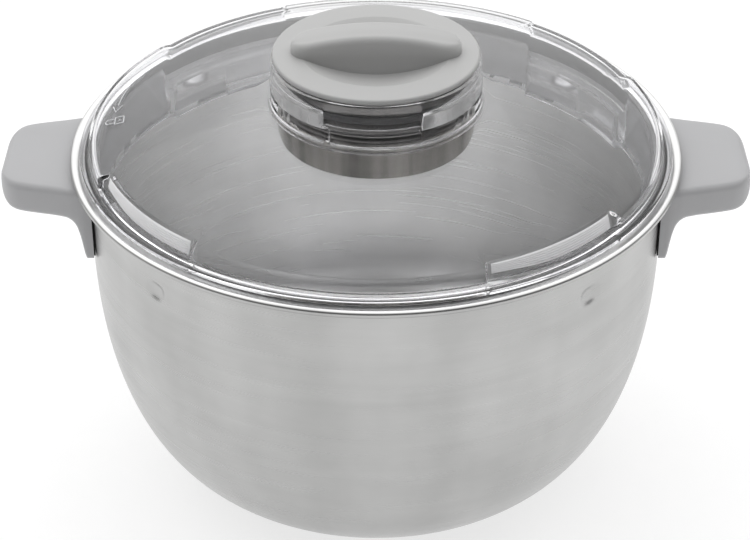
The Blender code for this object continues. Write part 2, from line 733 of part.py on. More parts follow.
def make_cap(parent):
    disc = [(r, scoop_height(r), 0) for r in (0, 8, 15, 21, 25, 28)]
    disc += [
        (DISH_RADIUS + 0.6, CAP_TOP, 0),
        (CAP_RADIUS - 0.9, CAP_TOP, 0),
        (CAP_RADIUS, CAP_TOP - 0.9, 0),
        (CAP_RADIUS, CAP_UNDERSIDE + 0.3, 0),
        (CAP_RADIUS - 0.3, CAP_UNDERSIDE, 0),
        (CUP_RADIUS - 2.1, CAP_UNDERSIDE, 0),
        (CUP_RADIUS - 2.1, CUP_FLOOR + GAP, 0),
        (0, CUP_FLOOR + GAP, 0),
    ]
    cover = turned_piece("cap_cover", disc, GREY_PLASTIC)
    boolean(cover, add_object("grip_piece", grip_bar(), None), "UNION")
    hold_in_place(cover, parent)


def make_cap_seal(parent):
    ring = [
        (CAP_SEAL_INNER, CAP_SEAL_BOTTOM, 0),
        (CAP_SEAL_OUTER, CAP_SEAL_BOTTOM, 0),
        (CAP_SEAL_OUTER, CAP_SEAL_TOP, 0),
        (CAP_SEAL_INNER, CAP_SEAL_TOP, 0),
    ]
    seal = turned_piece("cap_seal", ring, SILICONE)
    hold_in_place(seal, parent)


def main():
    clear_scene()
    make_bowl()
    make_base()
    make_handle("right", 0)
    make_handle("left", math.radians(180))
    lid_lift = add_empty("lid_lift_axis", RIM_HEIGHT)
    lid_twist = add_empty("lid_twist_axis", 0, lid_lift)
    cap_lift = add_empty("cap_lift_axis", COLLAR_TOP - RIM_HEIGHT, lid_twist)
    cap_twist = add_empty("cap_twist_axis", 0, cap_lift)
    make_lid_seal(lid_lift)
    make_lid(lid_twist)
    make_cap_seal(cap_lift)
    make_cup(cap_twist)
    make_cap(cap_twist)


main()
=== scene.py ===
"""Looks for the lidded cooking bowl: fine meshes, materials, light and camera round the frame."""
import math

import bmesh
import bpy
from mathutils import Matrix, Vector


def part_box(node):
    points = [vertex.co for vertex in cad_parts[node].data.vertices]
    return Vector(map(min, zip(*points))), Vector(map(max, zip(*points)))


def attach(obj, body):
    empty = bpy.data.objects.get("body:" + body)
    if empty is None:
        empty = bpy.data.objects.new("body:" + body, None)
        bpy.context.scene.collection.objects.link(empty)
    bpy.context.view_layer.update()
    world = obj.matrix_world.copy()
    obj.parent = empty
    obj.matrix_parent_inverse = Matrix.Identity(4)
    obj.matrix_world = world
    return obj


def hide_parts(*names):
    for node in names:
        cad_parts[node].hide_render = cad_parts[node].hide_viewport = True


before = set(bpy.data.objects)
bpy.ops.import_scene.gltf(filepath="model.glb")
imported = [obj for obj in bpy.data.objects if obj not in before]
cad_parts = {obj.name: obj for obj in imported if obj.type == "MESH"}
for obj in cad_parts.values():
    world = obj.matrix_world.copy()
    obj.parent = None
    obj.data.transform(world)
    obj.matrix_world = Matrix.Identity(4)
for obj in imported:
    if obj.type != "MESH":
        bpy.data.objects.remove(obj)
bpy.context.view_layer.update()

MM = 0.001

# Sizes read from the frame, in millimetres
RIM_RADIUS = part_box("bowl_shell")[1].x / MM
BEAD_RADIUS = 1.5
RIM_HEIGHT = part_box("bowl_shell")[1].z / MM - BEAD_RADIUS
BOWL_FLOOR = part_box("bowl_shell")[0].z / MM
BASE_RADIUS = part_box("base_cap")[1].x / MM
BASE_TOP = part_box("base_cap")[1].z / MM
FLANGE_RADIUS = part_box("lid_shell")[1].x / MM
COLLAR_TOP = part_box("lid_shell")[1].z / MM
SKIRT_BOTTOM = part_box("lid_shell")[0].z / MM
CUP_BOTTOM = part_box("cap_cup")[0].z / MM
CUP_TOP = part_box("cap_cup")[1].z / MM
CAP_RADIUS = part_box("cap_cover")[1].x / MM
EAR_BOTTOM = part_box("right_handle_cover")[0].z / MM

# All sizes are in millimetres and angles in degrees, unless said otherwise

# Bowl
BOWL_RADIUS = 118.2
BOWL_SHEET = 1.2
BOWL_FLAT_RADIUS = 64.0
BOWL_CURVE_HEIGHT = 113.0
BOWL_CURVE_POWER = 2.21
LUG_COUNT = 4
LUG_ANGLE = 44.0
LUG_HALF_WIDTH = 8.6
LUG_HALF_HEIGHT = 4.6
LUG_DEPTH = 4.0
DENT_HALF_WIDTH = 6.6
DENT_HALF_HEIGHT = 5.4
DENT_DEPTH = 1.15
LUG_HEIGHT = RIM_HEIGHT - 17.5
LUG_OVAL_POWER = 2.6
LUG_SOFT_SHARE = 0.7
CURL_START = -110
CURL_SPAN = 215
BASE_SHEET = 1.0
BASE_GROOVE = 0.35

# Handles
SEAT_RADIUS = 119.25
WELD_OUTER = 119.75
WELD_BOTTOM = RIM_HEIGHT - 30.0
TONGUE_TOP = RIM_HEIGHT - 7.7
PAD_WINDOW_HALF_ANGLE = 7.0
SCREW_X = 141.0
SCREW_Y = 10.5
COVER_THICKNESS = 2.7
FIT_GAP = 0.3
# Half length along X, half width along Y, corner radius
COVER_PLAN = (6.0, 15.5, 3.0)
COVER_RECESS_PLAN = (6.3, 15.8, 3.3)
# Inset of the cover's outline and height above its underside
COVER_LEVELS = ((0.5, 0.0), (0.15, 0.15), (0.0, 0.5), (0.0, COVER_THICKNESS))
# Radius, bottom and top above the cover's underside: round the screw's head, then its shank
SCREW_BORES = ((3.9, -1.0, 1.6), (2.2, 1.0, 4.0))
# Radius and height above the cover's underside
SCREW_HEAD = ((0, 0.1), (2.6, 0.12), (3.3, 0.3), (3.6, 0.7), (3.6, 1.3), (1.9, 1.35))
THREAD_RADIUS = 1.9
THREAD_ROOT = 1.55
THREAD_START = 1.6
SCREW_TOP = TONGUE_TOP + 1.6
SCREW_SHARP_ANGLE = 35
GRIP_SHARP_ANGLE = 40

# Lid
DOME_RADIUS = 441.0
DOME_INNER = 50
DOME_INNER_UNDER = 48
DOME_OUTER = 106
DOME_STEPS = 8
COLLAR_RADIUS = 43.25
COLLAR_BORE = 41.2
COLLAR_FOOT = RIM_HEIGHT + 22.9
COLLAR_UNDER = COLLAR_FOOT - 3.4
LID_SHEET = 2.0
FLANGE_TOP = RIM_HEIGHT + 3.4
FLANGE_BOTTOM = RIM_HEIGHT + 1.8
DOME_EDGE_RADIUS = 117.0
STEP_RADIUS = 117.3
POCKET_TOP_RADIUS = 112.6
POCKET_FOOT_RADIUS = 114.4
POCKET_BRINK_RADIUS = 112.0
POCKET_LEDGE = RIM_HEIGHT + 3.9
SKIRT_RADIUS = 115.2
SKIRT_POCKET_RADIUS = 111.6
POCKET_START = 21.0
POCKET_END = 53.0
CATCH_END = 36.5
POCKET_BLEND = 0.6
RAIL_COUNT = 3
RAIL_START = 1.0
RAIL_END = 54.5
RAIL_DEPTH = 1.2
RAIL_BOTTOM = RIM_HEIGHT + 28.3
RAIL_TOP = RIM_HEIGHT + 30.3
STOP_WIDTH = 2.5
# Frosted ribs on the pockets; taper, span and fade are shares of the rib's height or length
RIB_COUNT = 6
RIB_DEPTH = 0.42
RIB_BACKING = 0.10
RIB_SINK = 0.08
RIB_END_GAP = 1.1
RIB_STEPS = 48
RIB_TAPER = 0.35
RIB_TAPER_SPAN = 0.5
RIB_FADE = 0.04
RIB_SHARP_ANGLE = 15
# Padlock and arrow on the lid: radii, then angles round the lid
PADLOCK_INNER = 102.9
PADLOCK_OUTER = 106.5
PADLOCK_ANGLE = 180.9
PADLOCK_HALF_ANGLE = 1.5
SHACKLE_HALF_ANGLE = 0.85
ARROW_RADIUS = 107.0
ARROW_START = 163.7
ARROW_END = 173.8
ARROW_HEAD = ((105.1, 174.1), (107.1, 176.8), (108.9, 174.1))
STROKE_WIDTH = 0.5
STROKE_LIFT = 0.25
STROKE_SINK = 0.15
STROKE_SHARP_ANGLE = 30

# Seals: radius, height from the rim, rounding
LID_SEAL_CORNERS = (
    (115.8, -6.0, 0.3), (116.4, -6.0, 0.3), (116.4, -5.0, 0.2), (116.1, -4.4, 0.2),
    (116.5, -3.6, 0.2), (116.1, -2.8, 0.2), (116.5, -2.0, 0.2), (116.1, -1.2, 0.2),
    (116.4, 1.0, 0.3), (115.8, 1.0, 0.3),
)
CAP_SEAL_CORNERS = (
    (39.9, 32.4, 0.3), (40.8, 32.6, 0.3), (40.5, 33.9, 0.3), (40.8, 35.2, 0.3), (39.9, 35.4, 0.3),
)

# Cup and cap
CUP_RADIUS = 39.5
CUP_WALL = 1.9
CUP_LIP = 1.5
CUP_FLOOR_SHEET = 2.0
TAB_ANGLE = 61.0
TAB_HALF_ANGLE = 4.0
TAB_DEPTH = 1.3
CUP_FLOOR = RIM_HEIGHT + 32.8
CAP_TOP = RIM_HEIGHT + 43.7
CAP_UNDERSIDE = RIM_HEIGHT + 41.4
DISH_DEPTH = 7.0
DISH_RADIUS = 29.5
GRIP_HALF_LENGTH = 34.3
GRIP_HALF_WIDTH = 8.0
GRIP_TAPER_FROM = 25.5
GRIP_RISE = 9.6
GRIP_END_RISE = 4.4
GRIP_ROUNDING_TOP = 2.6
GRIP_TIP_HALF_WIDTH = 0.4
GRIP_TIP_POWER = 2.3
GRIP_ARCH_POWER = 0.9
GRIP_TIP_DROP = 2.2
GRIP_TIP_DROP_POWER = 6
GRIP_CROWN = 0.2

# Points round a turned piece, and how far clear of an edge they keep, as a share of its blend
TURN_STEPS = 288
EDGE_CLEARANCE = 1.3

# Looks
SKIRT_FROST = 0.22
FLOW_RIPPLE = 0.008

# Stage, in metres
FLOOR_SIZE = 14.0
FLOOR_DROP = 0.0002
FLOOR_STEPS = 4
FLOOR_GLOW = 0.68
SKY_DARK = 0.10
SKY_BRIGHT = 1.30
SKY_DARK_AT = 0.02
SKY_BRIGHT_AT = 0.80
SKY_TOWARDS = (-0.08, 0.45, 0.89)
SOFTBOX_PLACE = (-0.3, 0.9, 1.5)
SOFTBOX_TARGET = (0, 0, 0.10)
SOFTBOX_SIZE = (1.8, 1.4)
SOFTBOX_POWER = 3.0
CAMERA_PLACE = (0, -0.8081, 0.6157)
CAMERA_TARGET = (0, 0, 0.0866)
CAMERA_SENSOR_MM = 36.0
CAMERA_LENS_MM = 108.8
CAMERA_SHIFT_X = -0.00147
CAMERA_CLIP_END = 50.0


# ---- meshes

def closed_mesh(name, verts, faces):
    """Mesh in metres from vertices in millimetres, with its normals outwards."""
    mesh = bpy.data.meshes.new(name)
    mesh.from_pydata([(x * MM, y * MM, z * MM) for x, y, z in verts], [], faces)
    builder = bmesh.new()
    builder.from_mesh(mesh)
    bmesh.ops.recalc_face_normals(builder, faces=builder.faces)
    builder.to_mesh(mesh)
    builder.free()
    return mesh


def shade_smoothly(mesh, sharp_angle=None):
    """Smooth shading; edges sharper than the angle stay crisp."""
    mesh.shade_smooth()
    if sharp_angle is not None:
        mesh.set_sharp_from_angle(angle=math.radians(sharp_angle))


def linked(name, data):
    item = bpy.data.objects.new(name, data)
    bpy.context.scene.collection.objects.link(item)
    return item


def add_piece(name, verts, faces, material, body, replaces=(), sharp_angle=None):
    """A visible piece of one material that rides on its CAD body."""
    mesh = closed_mesh(name, verts, faces)
    shade_smoothly(mesh, sharp_angle)
    item = linked(name, mesh)
    mesh.materials.append(material)
    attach(item, body)
    if replaces:
        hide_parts(*replaces)
    return item


def round_corners(corners, steps):
    """Outline from (radius, height, rounding) corners; a rounded corner has steps + 1 points."""
    points = []
    count = len(corners)
    for index, (r, z, rounding) in enumerate(corners):
        here = Vector((r, z))
        if rounding == 0:
            points.append((r, z))
            continue
        before = Vector(corners[index - 1][:2]) - here
        after = Vector(corners[(index + 1) % count][:2]) - here
        half_angle = max(before.angle(after) / 2, 0.05)
        setback = min(rounding / math.tan(half_angle), before.length * 0.49, after.length * 0.49)
        start = here + before.normalized() * setback
        end = here + after.normalized() * setback
        for step in range(steps + 1):
            t = step / steps
            point = start * (1 - t) ** 2 + here * 2 * t * (1 - t) + end * t ** 2
            points.append((point.x, point.y))
    return points


def turn_angles(edges=(), blend=POCKET_BLEND, blend_steps=8):
    """Even angles in degrees, closer together across each edge where the section changes."""
    angles = []
    for step in range(TURN_STEPS):
        angle = 360 * step / TURN_STEPS
        if all(abs((angle - edge + 180) % 360 - 180) > blend * EDGE_CLEARANCE for edge in edges):
            angles.append(angle)
    for edge in edges:
        for step in range(blend_steps + 1):
            angles.append((edge + blend * (2 * step / blend_steps - 1)) % 360)
    return sorted(set(round(angle, 5) for angle in angles))


def repeats(angles, count):
    """The angles again in each equal part of the turn."""
    return [angle + 360 * part / count for part in range(count) for angle in angles]


def at_angle(outline, turn):
    """Points of a (radius, height) outline at a turn in radians."""
    return [(r * math.cos(turn), r * math.sin(turn), z) for r, z in outline]


def turned(section, angles):
    """Vertices and faces of a section swept round Z, closed on the axis or as a loop."""
    first = section(angles[0])
    on_axis = first[0][0] == 0 and first[-1][0] == 0
    verts, faces, rows = [], [], []
    poles = {}
    if on_axis:
        for index in (0, len(first) - 1):
            poles[index] = len(verts)
            verts.append((0, 0, first[index][1]))
    for angle in angles:
        row = []
        for index, point in enumerate(at_angle(section(angle), math.radians(angle))):
            if index in poles:
                row.append(poles[index])
            else:
                row.append(len(verts))
                verts.append(point)
        rows.append(row)
    spans = len(first) - 1 if on_axis else len(first)
    for index, row in enumerate(rows):
        other = rows[(index + 1) % len(rows)]
        for step in range(spans):
            corner = (step + 1) % len(first)
            quad = (row[step], other[step], other[corner], row[corner])
            faces.append(tuple(dict.fromkeys(quad)))
    return verts, faces


def turned_piece(name, corners, material, body, replaces=(), steps=6):
    outline = round_corners(corners, steps)
    verts, faces = turned(lambda angle: outline, turn_angles())
    return add_piece(name, verts, faces, material, body, replaces)


def lofted(rows, close_end=lambda loop: [tuple(loop)]):
    """Vertices and faces of a solid through equal closed rows of points, closed at both ends."""
    verts = [point for row in rows for point in row]
    count = len(rows[0])
    loops = [range(start, start + count) for start in range(0, len(verts), count)]
    faces = close_end(loops[0]) + close_end(loops[-1])
    for loop, other in zip(loops, loops[1:]):
        for index in range(count):
            after = (index + 1) % count
            faces.append((loop[index], loop[after], other[after], other[index]))
    return verts, faces


def merged(solids):
    """One list of vertices and one of faces for several solids."""
    verts, faces = [], []
    for more_verts, more_faces in solids:
        base = len(verts)
        verts += more_verts
        faces += [tuple(index + base for index in face) for face in more_faces]
    return verts, faces


def smooth_step(t):
    t = min(1.0, max(0.0, t))
    return t * t * (3 - 2 * t)


def ramp(angle, start, end, pitch):
    """One between the start and end angles of each repeat, easing to nothing outside them."""
    middle = (start + end) / 2
    away = abs((angle - middle + pitch / 2) % pitch - pitch / 2)
    return 1 - smooth_step((away - (end - start) / 2) / (2 * POCKET_BLEND) + 0.5)


# ---- material nodes

def node(tree, kind, values=None, **settings):
    made = tree.nodes.new("ShaderNode" + kind)
    for key, value in settings.items():
        setattr(made, key, value)
    for socket, value in (values or {}).items():
        if isinstance(value, bpy.types.NodeSocket):
            tree.links.new(value, made.inputs[socket])
        else:
            made.inputs[socket].default_value = value
    return made


def new_material(name, values):
    material = bpy.data.materials.new(name)
    material.use_nodes = True
    tree = material.node_tree
    shader = tree.nodes["Principled BSDF"]
    for socket, value in values.items():
        shader.inputs[socket].default_value = value
    return material, tree, shader


def object_coords(tree):
    return node(tree, "TexCoord").outputs["Object"]


def noise(tree, vector, scale, detail=3.0, roughness=0.55):
    made = node(tree, "TexNoise", {"Vector": vector, "Scale": scale, "Detail": detail,
                                   "Roughness": roughness})
    return made.outputs["Fac"]


def spread(tree, value, low=0.0, high=1.0, from_low=0.3, from_high=0.7):
    """A value between from_low and from_high, spread out to run from low to high."""
    made = node(tree, "MapRange", {"Value": value, "From Min": from_low, "From Max": from_high,
                                   "To Min": low, "To Max": high})
    return made.outputs["Result"]


def mix_colour(tree, factor, first, second):
    """Sockets 0, 6 and 7 are the Mix node's factor and two colours."""
    made = node(tree, "Mix", data_type="RGBA")
    for index, value in ((0, factor), (6, first), (7, second)):
        if isinstance(value, bpy.types.NodeSocket):
            tree.links.new(value, made.inputs[index])
        else:
            made.inputs[index].default_value = value
    return made.outputs[2]


def add_values(tree, first, second, share):
    """The first value plus a share of the second."""
    scaled = node(tree, "Math", {0: second, 1: share}, operation="MULTIPLY").outputs[0]
    return node(tree, "Math", {0: first, 1: scaled}, operation="ADD").outputs[0]


def bump(tree, height, strength, distance):
    made = node(tree, "Bump", {"Height": height, "Strength": strength, "Distance": distance})
    return made.outputs["Normal"]


def finish(tree, shader, colour, roughness, normal):
    """Link what varies over a material's surface."""
    for socket, value in (("Base Color", colour), ("Roughness", roughness), ("Normal", normal)):
        tree.links.new(value, shader.inputs[socket])


def brush_round(tree, shader):
    """Stretch highlights across marks that run round the axis."""
    tangent = node(tree, "Tangent", direction_type="RADIAL", axis="Z").outputs[0]
    tree.links.new(tangent, shader.inputs["Tangent"])


def ring_coords(tree, along, across):
    """Coordinates that change slowly round the axis and fast across it, for turned grain."""
    xyz = node(tree, "SeparateXYZ", {"Vector": object_coords(tree)})
    flat = node(tree, "CombineXYZ", {"X": xyz.outputs["X"], "Y": xyz.outputs["Y"]})
    radius = node(tree, "VectorMath", {0: flat.outputs[0]}, operation="LENGTH").outputs["Value"]
    unit = node(tree, "VectorMath", {0: flat.outputs[0]}, operation="NORMALIZE").outputs[0]
    around = node(tree, "VectorMath", {0: unit, "Scale": along}, operation="SCALE").outputs[0]
    path = node(tree, "Math", {0: radius, 1: xyz.outputs["Z"]}, operation="SUBTRACT").outputs[0]
    path = node(tree, "Math", {0: path, 1: across}, operation="MULTIPLY").outputs[0]
    lift = node(tree, "CombineXYZ", {"Z": path}).outputs[0]
    return node(tree, "VectorMath", {0: around, 1: lift}, operation="ADD").outputs[0]


def painted_inside_light_mask(tree):
    """One where a turned surface faces its axis or the sky, nothing on its outside; it masks the
    painted light inside.
    """
    facing = node(tree, "TexCoord").outputs["Normal"]
    place = node(tree, "VectorMath", {0: object_coords(tree), 1: (1.0, 1.0, 0.0)},
                 operation="MULTIPLY").outputs[0]
    outward = node(tree, "VectorMath", {0: place}, operation="NORMALIZE").outputs[0]
    outward = node(tree, "VectorMath", {0: outward, 1: (0.0, 0.0, -1.0)},
                   operation="ADD").outputs[0]
    away = node(tree, "VectorMath", {0: facing, 1: outward},
                operation="DOT_PRODUCT").outputs["Value"]
    return spread(tree, away, 1.0, 0.0, -0.1, 0.1)


def turned_steel(name, dark, light, rough, grain_bump, anisotropy, inside=None):
    """Stainless sheet brushed round its axis, with faint mottling, a painted highlight fan round
    the axis, and, if asked, painted light that makes its inside lighter.
    """
    material, tree, shader = new_material(name, {"Metallic": 1.0, "Anisotropic": anisotropy})
    grain = noise(tree, ring_coords(tree, along=1.1, across=1400.0), scale=1.0)
    bands = noise(tree, ring_coords(tree, along=1.2, across=160.0), scale=1.0, detail=2.0)
    clouds = noise(tree, object_coords(tree), scale=22.0)
    # Painted highlight: tone that changes round the axis paints the fan of light that brushed steel
    # reflects.
    painted_fan_highlight = noise(tree, ring_coords(tree, along=3.2, across=2.0), scale=1.0, detail=2.0)
    tone = add_values(tree, clouds, bands, share=0.4)
    tone = add_values(tree, tone, grain, share=0.15)
    tone = add_values(tree, tone, painted_fan_highlight, share=0.9)
    blend = spread(tree, tone, 0.0, 1.0, 0.90, 1.60)
    colour = mix_colour(tree, blend, dark, light)
    # Painted light: where the surface faces its axis, the inside gets a lighter copy of the steel's
    # colours.
    if inside is not None:
        colour = mix_colour(tree, painted_inside_light_mask(tree), colour, mix_colour(tree, blend, *inside))
    finish(tree, shader, colour, spread(tree, grain, *rough),
           bump(tree, grain, grain_bump, 0.00005))
    if anisotropy > 0:
        brush_round(tree, shader)
    return material


def moulded_plastic(name, dark, light, rough, texture_bump):
    """Satin moulded plastic: spark-eroded texture, slight tone drift and handled patches."""
    material, tree, shader = new_material(name, {"IOR": 1.48})
    place = object_coords(tree)
    texture = noise(tree, place, scale=2600.0, roughness=0.6)
    drift = noise(tree, place, scale=30.0)
    handled = noise(tree, place, scale=9.0, detail=4.0, roughness=0.7)
    colour = mix_colour(tree, spread(tree, drift), dark, light)
    wear = spread(tree, drift, *rough)
    wear = add_values(tree, wear, spread(tree, texture, -0.04, 0.04), share=1.0)
    wear = add_values(tree, wear, spread(tree, handled, -0.05, 0.05), share=1.0)
    finish(tree, shader, colour, wear, bump(tree, texture, texture_bump, 0.0001))
    return material


def clear_plastic(name, tint, deep_tint, rough, shadow, ior):
    """Polished clear plastic with flow ripple and fine wipe marks, lightly frosted below the rim.

    Shadow rays pass it, so lamps shine through.
    """
    material, tree, shader = new_material(name, {"Transmission Weight": 1.0, "IOR": ior})
    place = object_coords(tree)
    wipes = noise(tree, ring_coords(tree, along=6.0, across=420.0), scale=1.0, detail=4.0,
                  roughness=0.7)
    flow = noise(tree, place, scale=28.0, detail=2.0)
    colour = mix_colour(tree, spread(tree, flow), tint, deep_tint)
    height = node(tree, "SeparateXYZ", {"Vector": place}).outputs["Z"]
    frost = spread(tree, height, SKIRT_FROST, 0.0, (RIM_HEIGHT - 3.0) * MM, RIM_HEIGHT * MM)
    wear = add_values(tree, spread(tree, wipes, *rough), frost, share=1.0)
    finish(tree, shader, colour, wear, bump(tree, flow, FLOW_RIPPLE, 0.002))
    through = node(tree, "BsdfTransparent", {"Color": shadow})
    is_shadow = node(tree, "LightPath").outputs["Is Shadow Ray"]
    both = node(tree, "MixShader", {0: is_shadow, 1: shader.outputs[0], 2: through.outputs[0]})
    tree.links.new(both.outputs[0], tree.nodes["Material Output"].inputs["Surface"])
    return material


def soft_rubber(name, dark, light, rough, dust):
    """Matt rubber with a fine grain and lighter specks; dust is the share of light colour."""
    material, tree, shader = new_material(name, {"IOR": 1.42})
    place = object_coords(tree)
    grain = noise(tree, place, scale=1500.0, detail=4.0)
    specks = noise(tree, place, scale=220.0, detail=5.0, roughness=0.8)
    colour = mix_colour(tree, spread(tree, specks, 0.0, dust, 0.5, 0.75), dark, light)
    finish(tree, shader, colour, spread(tree, grain, *rough), bump(tree, grain, 0.25, 0.0001))
    return material


def tinted_cup(name, low_tint, painted_collar_shade, painted_reflection_band):
    """Glossy taupe cup with turned polishing marks; painted shade makes it darker inside the lid's
    collar, and painted dark reflection bands run round it.
    """
    material, tree, shader = new_material(name, {"Metallic": 1.0, "Anisotropic": 0.5})
    marks = noise(tree, ring_coords(tree, along=3.0, across=900.0), scale=1.0, detail=4.0,
                  roughness=0.65)
    # Painted reflection: bands that change round the cup darken it in stripes, standing in for the
    # dark it reflects.
    bands = noise(tree, ring_coords(tree, along=4.5, across=3.0), scale=1.0, detail=2.0)
    height = node(tree, "SeparateXYZ", {"Vector": object_coords(tree)}).outputs["Z"]
    # Painted shade: the cup turns darker inside the lid's collar, where shade falls.
    collar_shade_mask = spread(tree, height, 0.0, 1.0, (COLLAR_FOOT - 1.5) * MM, (COLLAR_FOOT + 0.5) * MM)
    tint = mix_colour(tree, collar_shade_mask, low_tint, painted_collar_shade)
    shaded = mix_colour(tree, spread(tree, bands, 0.55, 0.0, 0.35, 0.65), tint, painted_reflection_band)
    finish(tree, shader, shaded, spread(tree, marks, 0.10, 0.20),
           bump(tree, marks, 0.03, 0.00005))
    brush_round(tree, shader)
    return material


def frosted_plastic(name, dark, light):
    """Clear plastic with a matt, milky surface."""
    material, tree, shader = new_material(name, {"Transmission Weight": 0.12, "IOR": 1.3})
    place = object_coords(tree)
    grain = noise(tree, place, scale=900.0)
    clouds = noise(tree, place, scale=60.0)
    colour = mix_colour(tree, spread(tree, clouds), dark, light)
    finish(tree, shader, colour, spread(tree, grain, 0.3, 0.45), bump(tree, grain, 0.15, 0.0001))
    return material


def make_materials():
    return {
        "bowl": turned_steel(
            "bowl_steel", (0.415, 0.415, 0.41, 1), (0.53, 0.53, 0.525, 1),
            rough=(0.26, 0.35), grain_bump=0.025, anisotropy=0.6,
            # The inside colours are painted light: a lighter copy of the same steel where the bowl
            # faces its axis.
            inside=((0.66, 0.66, 0.655, 1), (0.86, 0.86, 0.855, 1))),
        "base": turned_steel(
            "base_steel", (0.50, 0.50, 0.50, 1), (0.62, 0.62, 0.61, 1),
            rough=(0.28, 0.42), grain_bump=0.16, anisotropy=0.5),
        "disc": turned_steel(
            "disc_aluminium", (0.66, 0.66, 0.67, 1), (0.78, 0.78, 0.79, 1),
            rough=(0.35, 0.5), grain_bump=0.2, anisotropy=0.3),
        "strip": turned_steel(
            "strip_steel", (0.48, 0.48, 0.48, 1), (0.58, 0.58, 0.58, 1),
            rough=(0.3, 0.45), grain_bump=0.1, anisotropy=0.0),
        "screw": turned_steel(
            "screw_steel", (0.42, 0.42, 0.43, 1), (0.55, 0.55, 0.56, 1),
            rough=(0.25, 0.4), grain_bump=0.12, anisotropy=0.0),
        "handle": moulded_plastic(
            "handle_plastic", (0.425, 0.425, 0.434, 1), (0.455, 0.455, 0.464, 1),
            rough=(0.36, 0.50), texture_bump=0.08),
        "cap": moulded_plastic(
            "cap_plastic", (0.455, 0.455, 0.453, 1), (0.485, 0.485, 0.48, 1),
            rough=(0.34, 0.48), texture_bump=0.07),
        "lid": clear_plastic(
            "lid_clear", (0.985, 0.985, 0.992, 1), (0.97, 0.97, 0.985, 1),
            rough=(0.01, 0.025), shadow=(0.95, 0.95, 0.96, 1), ior=1.28),
        "cup": tinted_cup(
            # Painted shade: the second, darker tint is the cup inside the lid's collar.
            "cup_smoke", low_tint=(0.60, 0.58, 0.55, 1), painted_collar_shade=(0.17, 0.165, 0.16, 1),
            # Painted reflection: the darkest tint makes dark bands round the cup.
            painted_reflection_band=(0.12, 0.118, 0.115, 1)),
        "ribs": frosted_plastic("ribs_frosted", (0.94, 0.94, 0.95, 1), (0.99, 0.99, 1.0, 1)),
        "seal": soft_rubber(
            "seal_silicone", (0.10, 0.10, 0.10, 1), (0.15, 0.15, 0.15, 1),
            rough=(0.4, 0.6), dust=0.5),
        "pad": soft_rubber(
            "pad_rubber", (0.012, 0.012, 0.012, 1), (0.09, 0.09, 0.09, 1),
            rough=(0.55, 0.8), dust=0.4),
        "mark": soft_rubber(
            "mark_frosted", (0.75, 0.75, 0.77, 1), (0.88, 0.88, 0.9, 1),
            rough=(0.3, 0.5), dust=0.6),
    }


# ---- bowl

def bowl_wall(offset, count):
    """Side of the bowl from its flat floor up to where it runs straight, offset inwards."""
    points = []
    for step in range(count + 1):
        turn = math.radians(90) * (1 - step / count)
        across = math.cos(turn) ** (2 / BOWL_CURVE_POWER) if step else 0.0
        down = math.sin(turn) ** (2 / BOWL_CURVE_POWER)
        r = BOWL_FLAT_RADIUS + (BOWL_RADIUS - BOWL_FLAT_RADIUS - offset) * across
        z = BOWL_CURVE_HEIGHT - (BOWL_CURVE_HEIGHT - BOWL_FLOOR - offset) * down
        points.append((r, z))
    return points


def pressed_in(angle, z, depth, half_width, half_height):
    """How far a lug pushes one face of the wall inwards: a flat-bottomed oval with soft sides."""
    pitch = 360 / LUG_COUNT
    away = (angle - LUG_ANGLE + pitch / 2) % pitch - pitch / 2
    across = abs(math.radians(away) * BOWL_RADIUS / half_width)
    along = abs((z - LUG_HEIGHT) / half_height)
    reach = (across ** LUG_OVAL_POWER + along ** LUG_OVAL_POWER) ** (1 / LUG_OVAL_POWER)
    return depth * smooth_step((1 - reach) / LUG_SOFT_SHARE)


def rim_curl(steps=12):
    """Rolled bead of the rim, from under its outside over the top to its inside."""
    bead = RIM_RADIUS - BEAD_RADIUS
    points = []
    for step in range(steps + 1):
        turn = math.radians(CURL_START + CURL_SPAN * step / steps)
        points.append((bead + BEAD_RADIUS * math.cos(turn),
                       RIM_HEIGHT + BEAD_RADIUS * math.sin(turn)))
    return points


def bowl_section(angle):
    """Outline of the bowl at an angle: up its outside, over the rim and down its inside."""
    wall_steps, lug_steps = 40, 22
    inner_radius = BOWL_RADIUS - BOWL_SHEET
    floor = BOWL_FLOOR + BOWL_SHEET
    flat = (0, 20, 45)
    reach = 1.05 * DENT_HALF_HEIGHT
    lug_rows = [LUG_HEIGHT + reach * (2 * step / lug_steps - 1) for step in range(lug_steps + 1)]
    outside = [(r, BOWL_FLOOR) for r in flat] + bowl_wall(0, wall_steps)
    for z in lug_rows:
        dent = pressed_in(angle, z, DENT_DEPTH, DENT_HALF_WIDTH, DENT_HALF_HEIGHT)
        outside.append((BOWL_RADIUS - dent, z))
    curl = rim_curl()
    neck_out = round_corners([
        (BOWL_RADIUS, RIM_HEIGHT - 5.0, 0),
        (BOWL_RADIUS, RIM_HEIGHT - 1.2, 1.6),
        (curl[0][0] - 0.6, RIM_HEIGHT - 0.9, 0),
    ], 5)
    neck_in = round_corners([
        (curl[-1][0] - 0.6, RIM_HEIGHT + 1.25, 0),
        (BOWL_RADIUS + 2.2, RIM_HEIGHT + 0.6, 2.0),
        (inner_radius + 0.4, RIM_HEIGHT - 0.4, 2.4),
        (inner_radius, RIM_HEIGHT - 6.0, 0),
    ], 6)
    inside = []
    for z in reversed(lug_rows):
        lug = pressed_in(angle, z, LUG_DEPTH, LUG_HALF_WIDTH, LUG_HALF_HEIGHT)
        inside.append((inner_radius - lug, z))
    inside += reversed(bowl_wall(BOWL_SHEET, wall_steps))
    inside += [(r, floor) for r in reversed(flat)]
    return outside + neck_out + curl + neck_in + inside


def make_bowl(materials):
    half = math.degrees(LUG_HALF_WIDTH / BOWL_RADIUS)
    angles = turn_angles(repeats([LUG_ANGLE], LUG_COUNT), blend=half * 1.05, blend_steps=30)
    verts, faces = turned(bowl_section, angles)
    add_piece("brushed_bowl", verts, faces, materials["bowl"], "bowl", ["bowl_shell"])


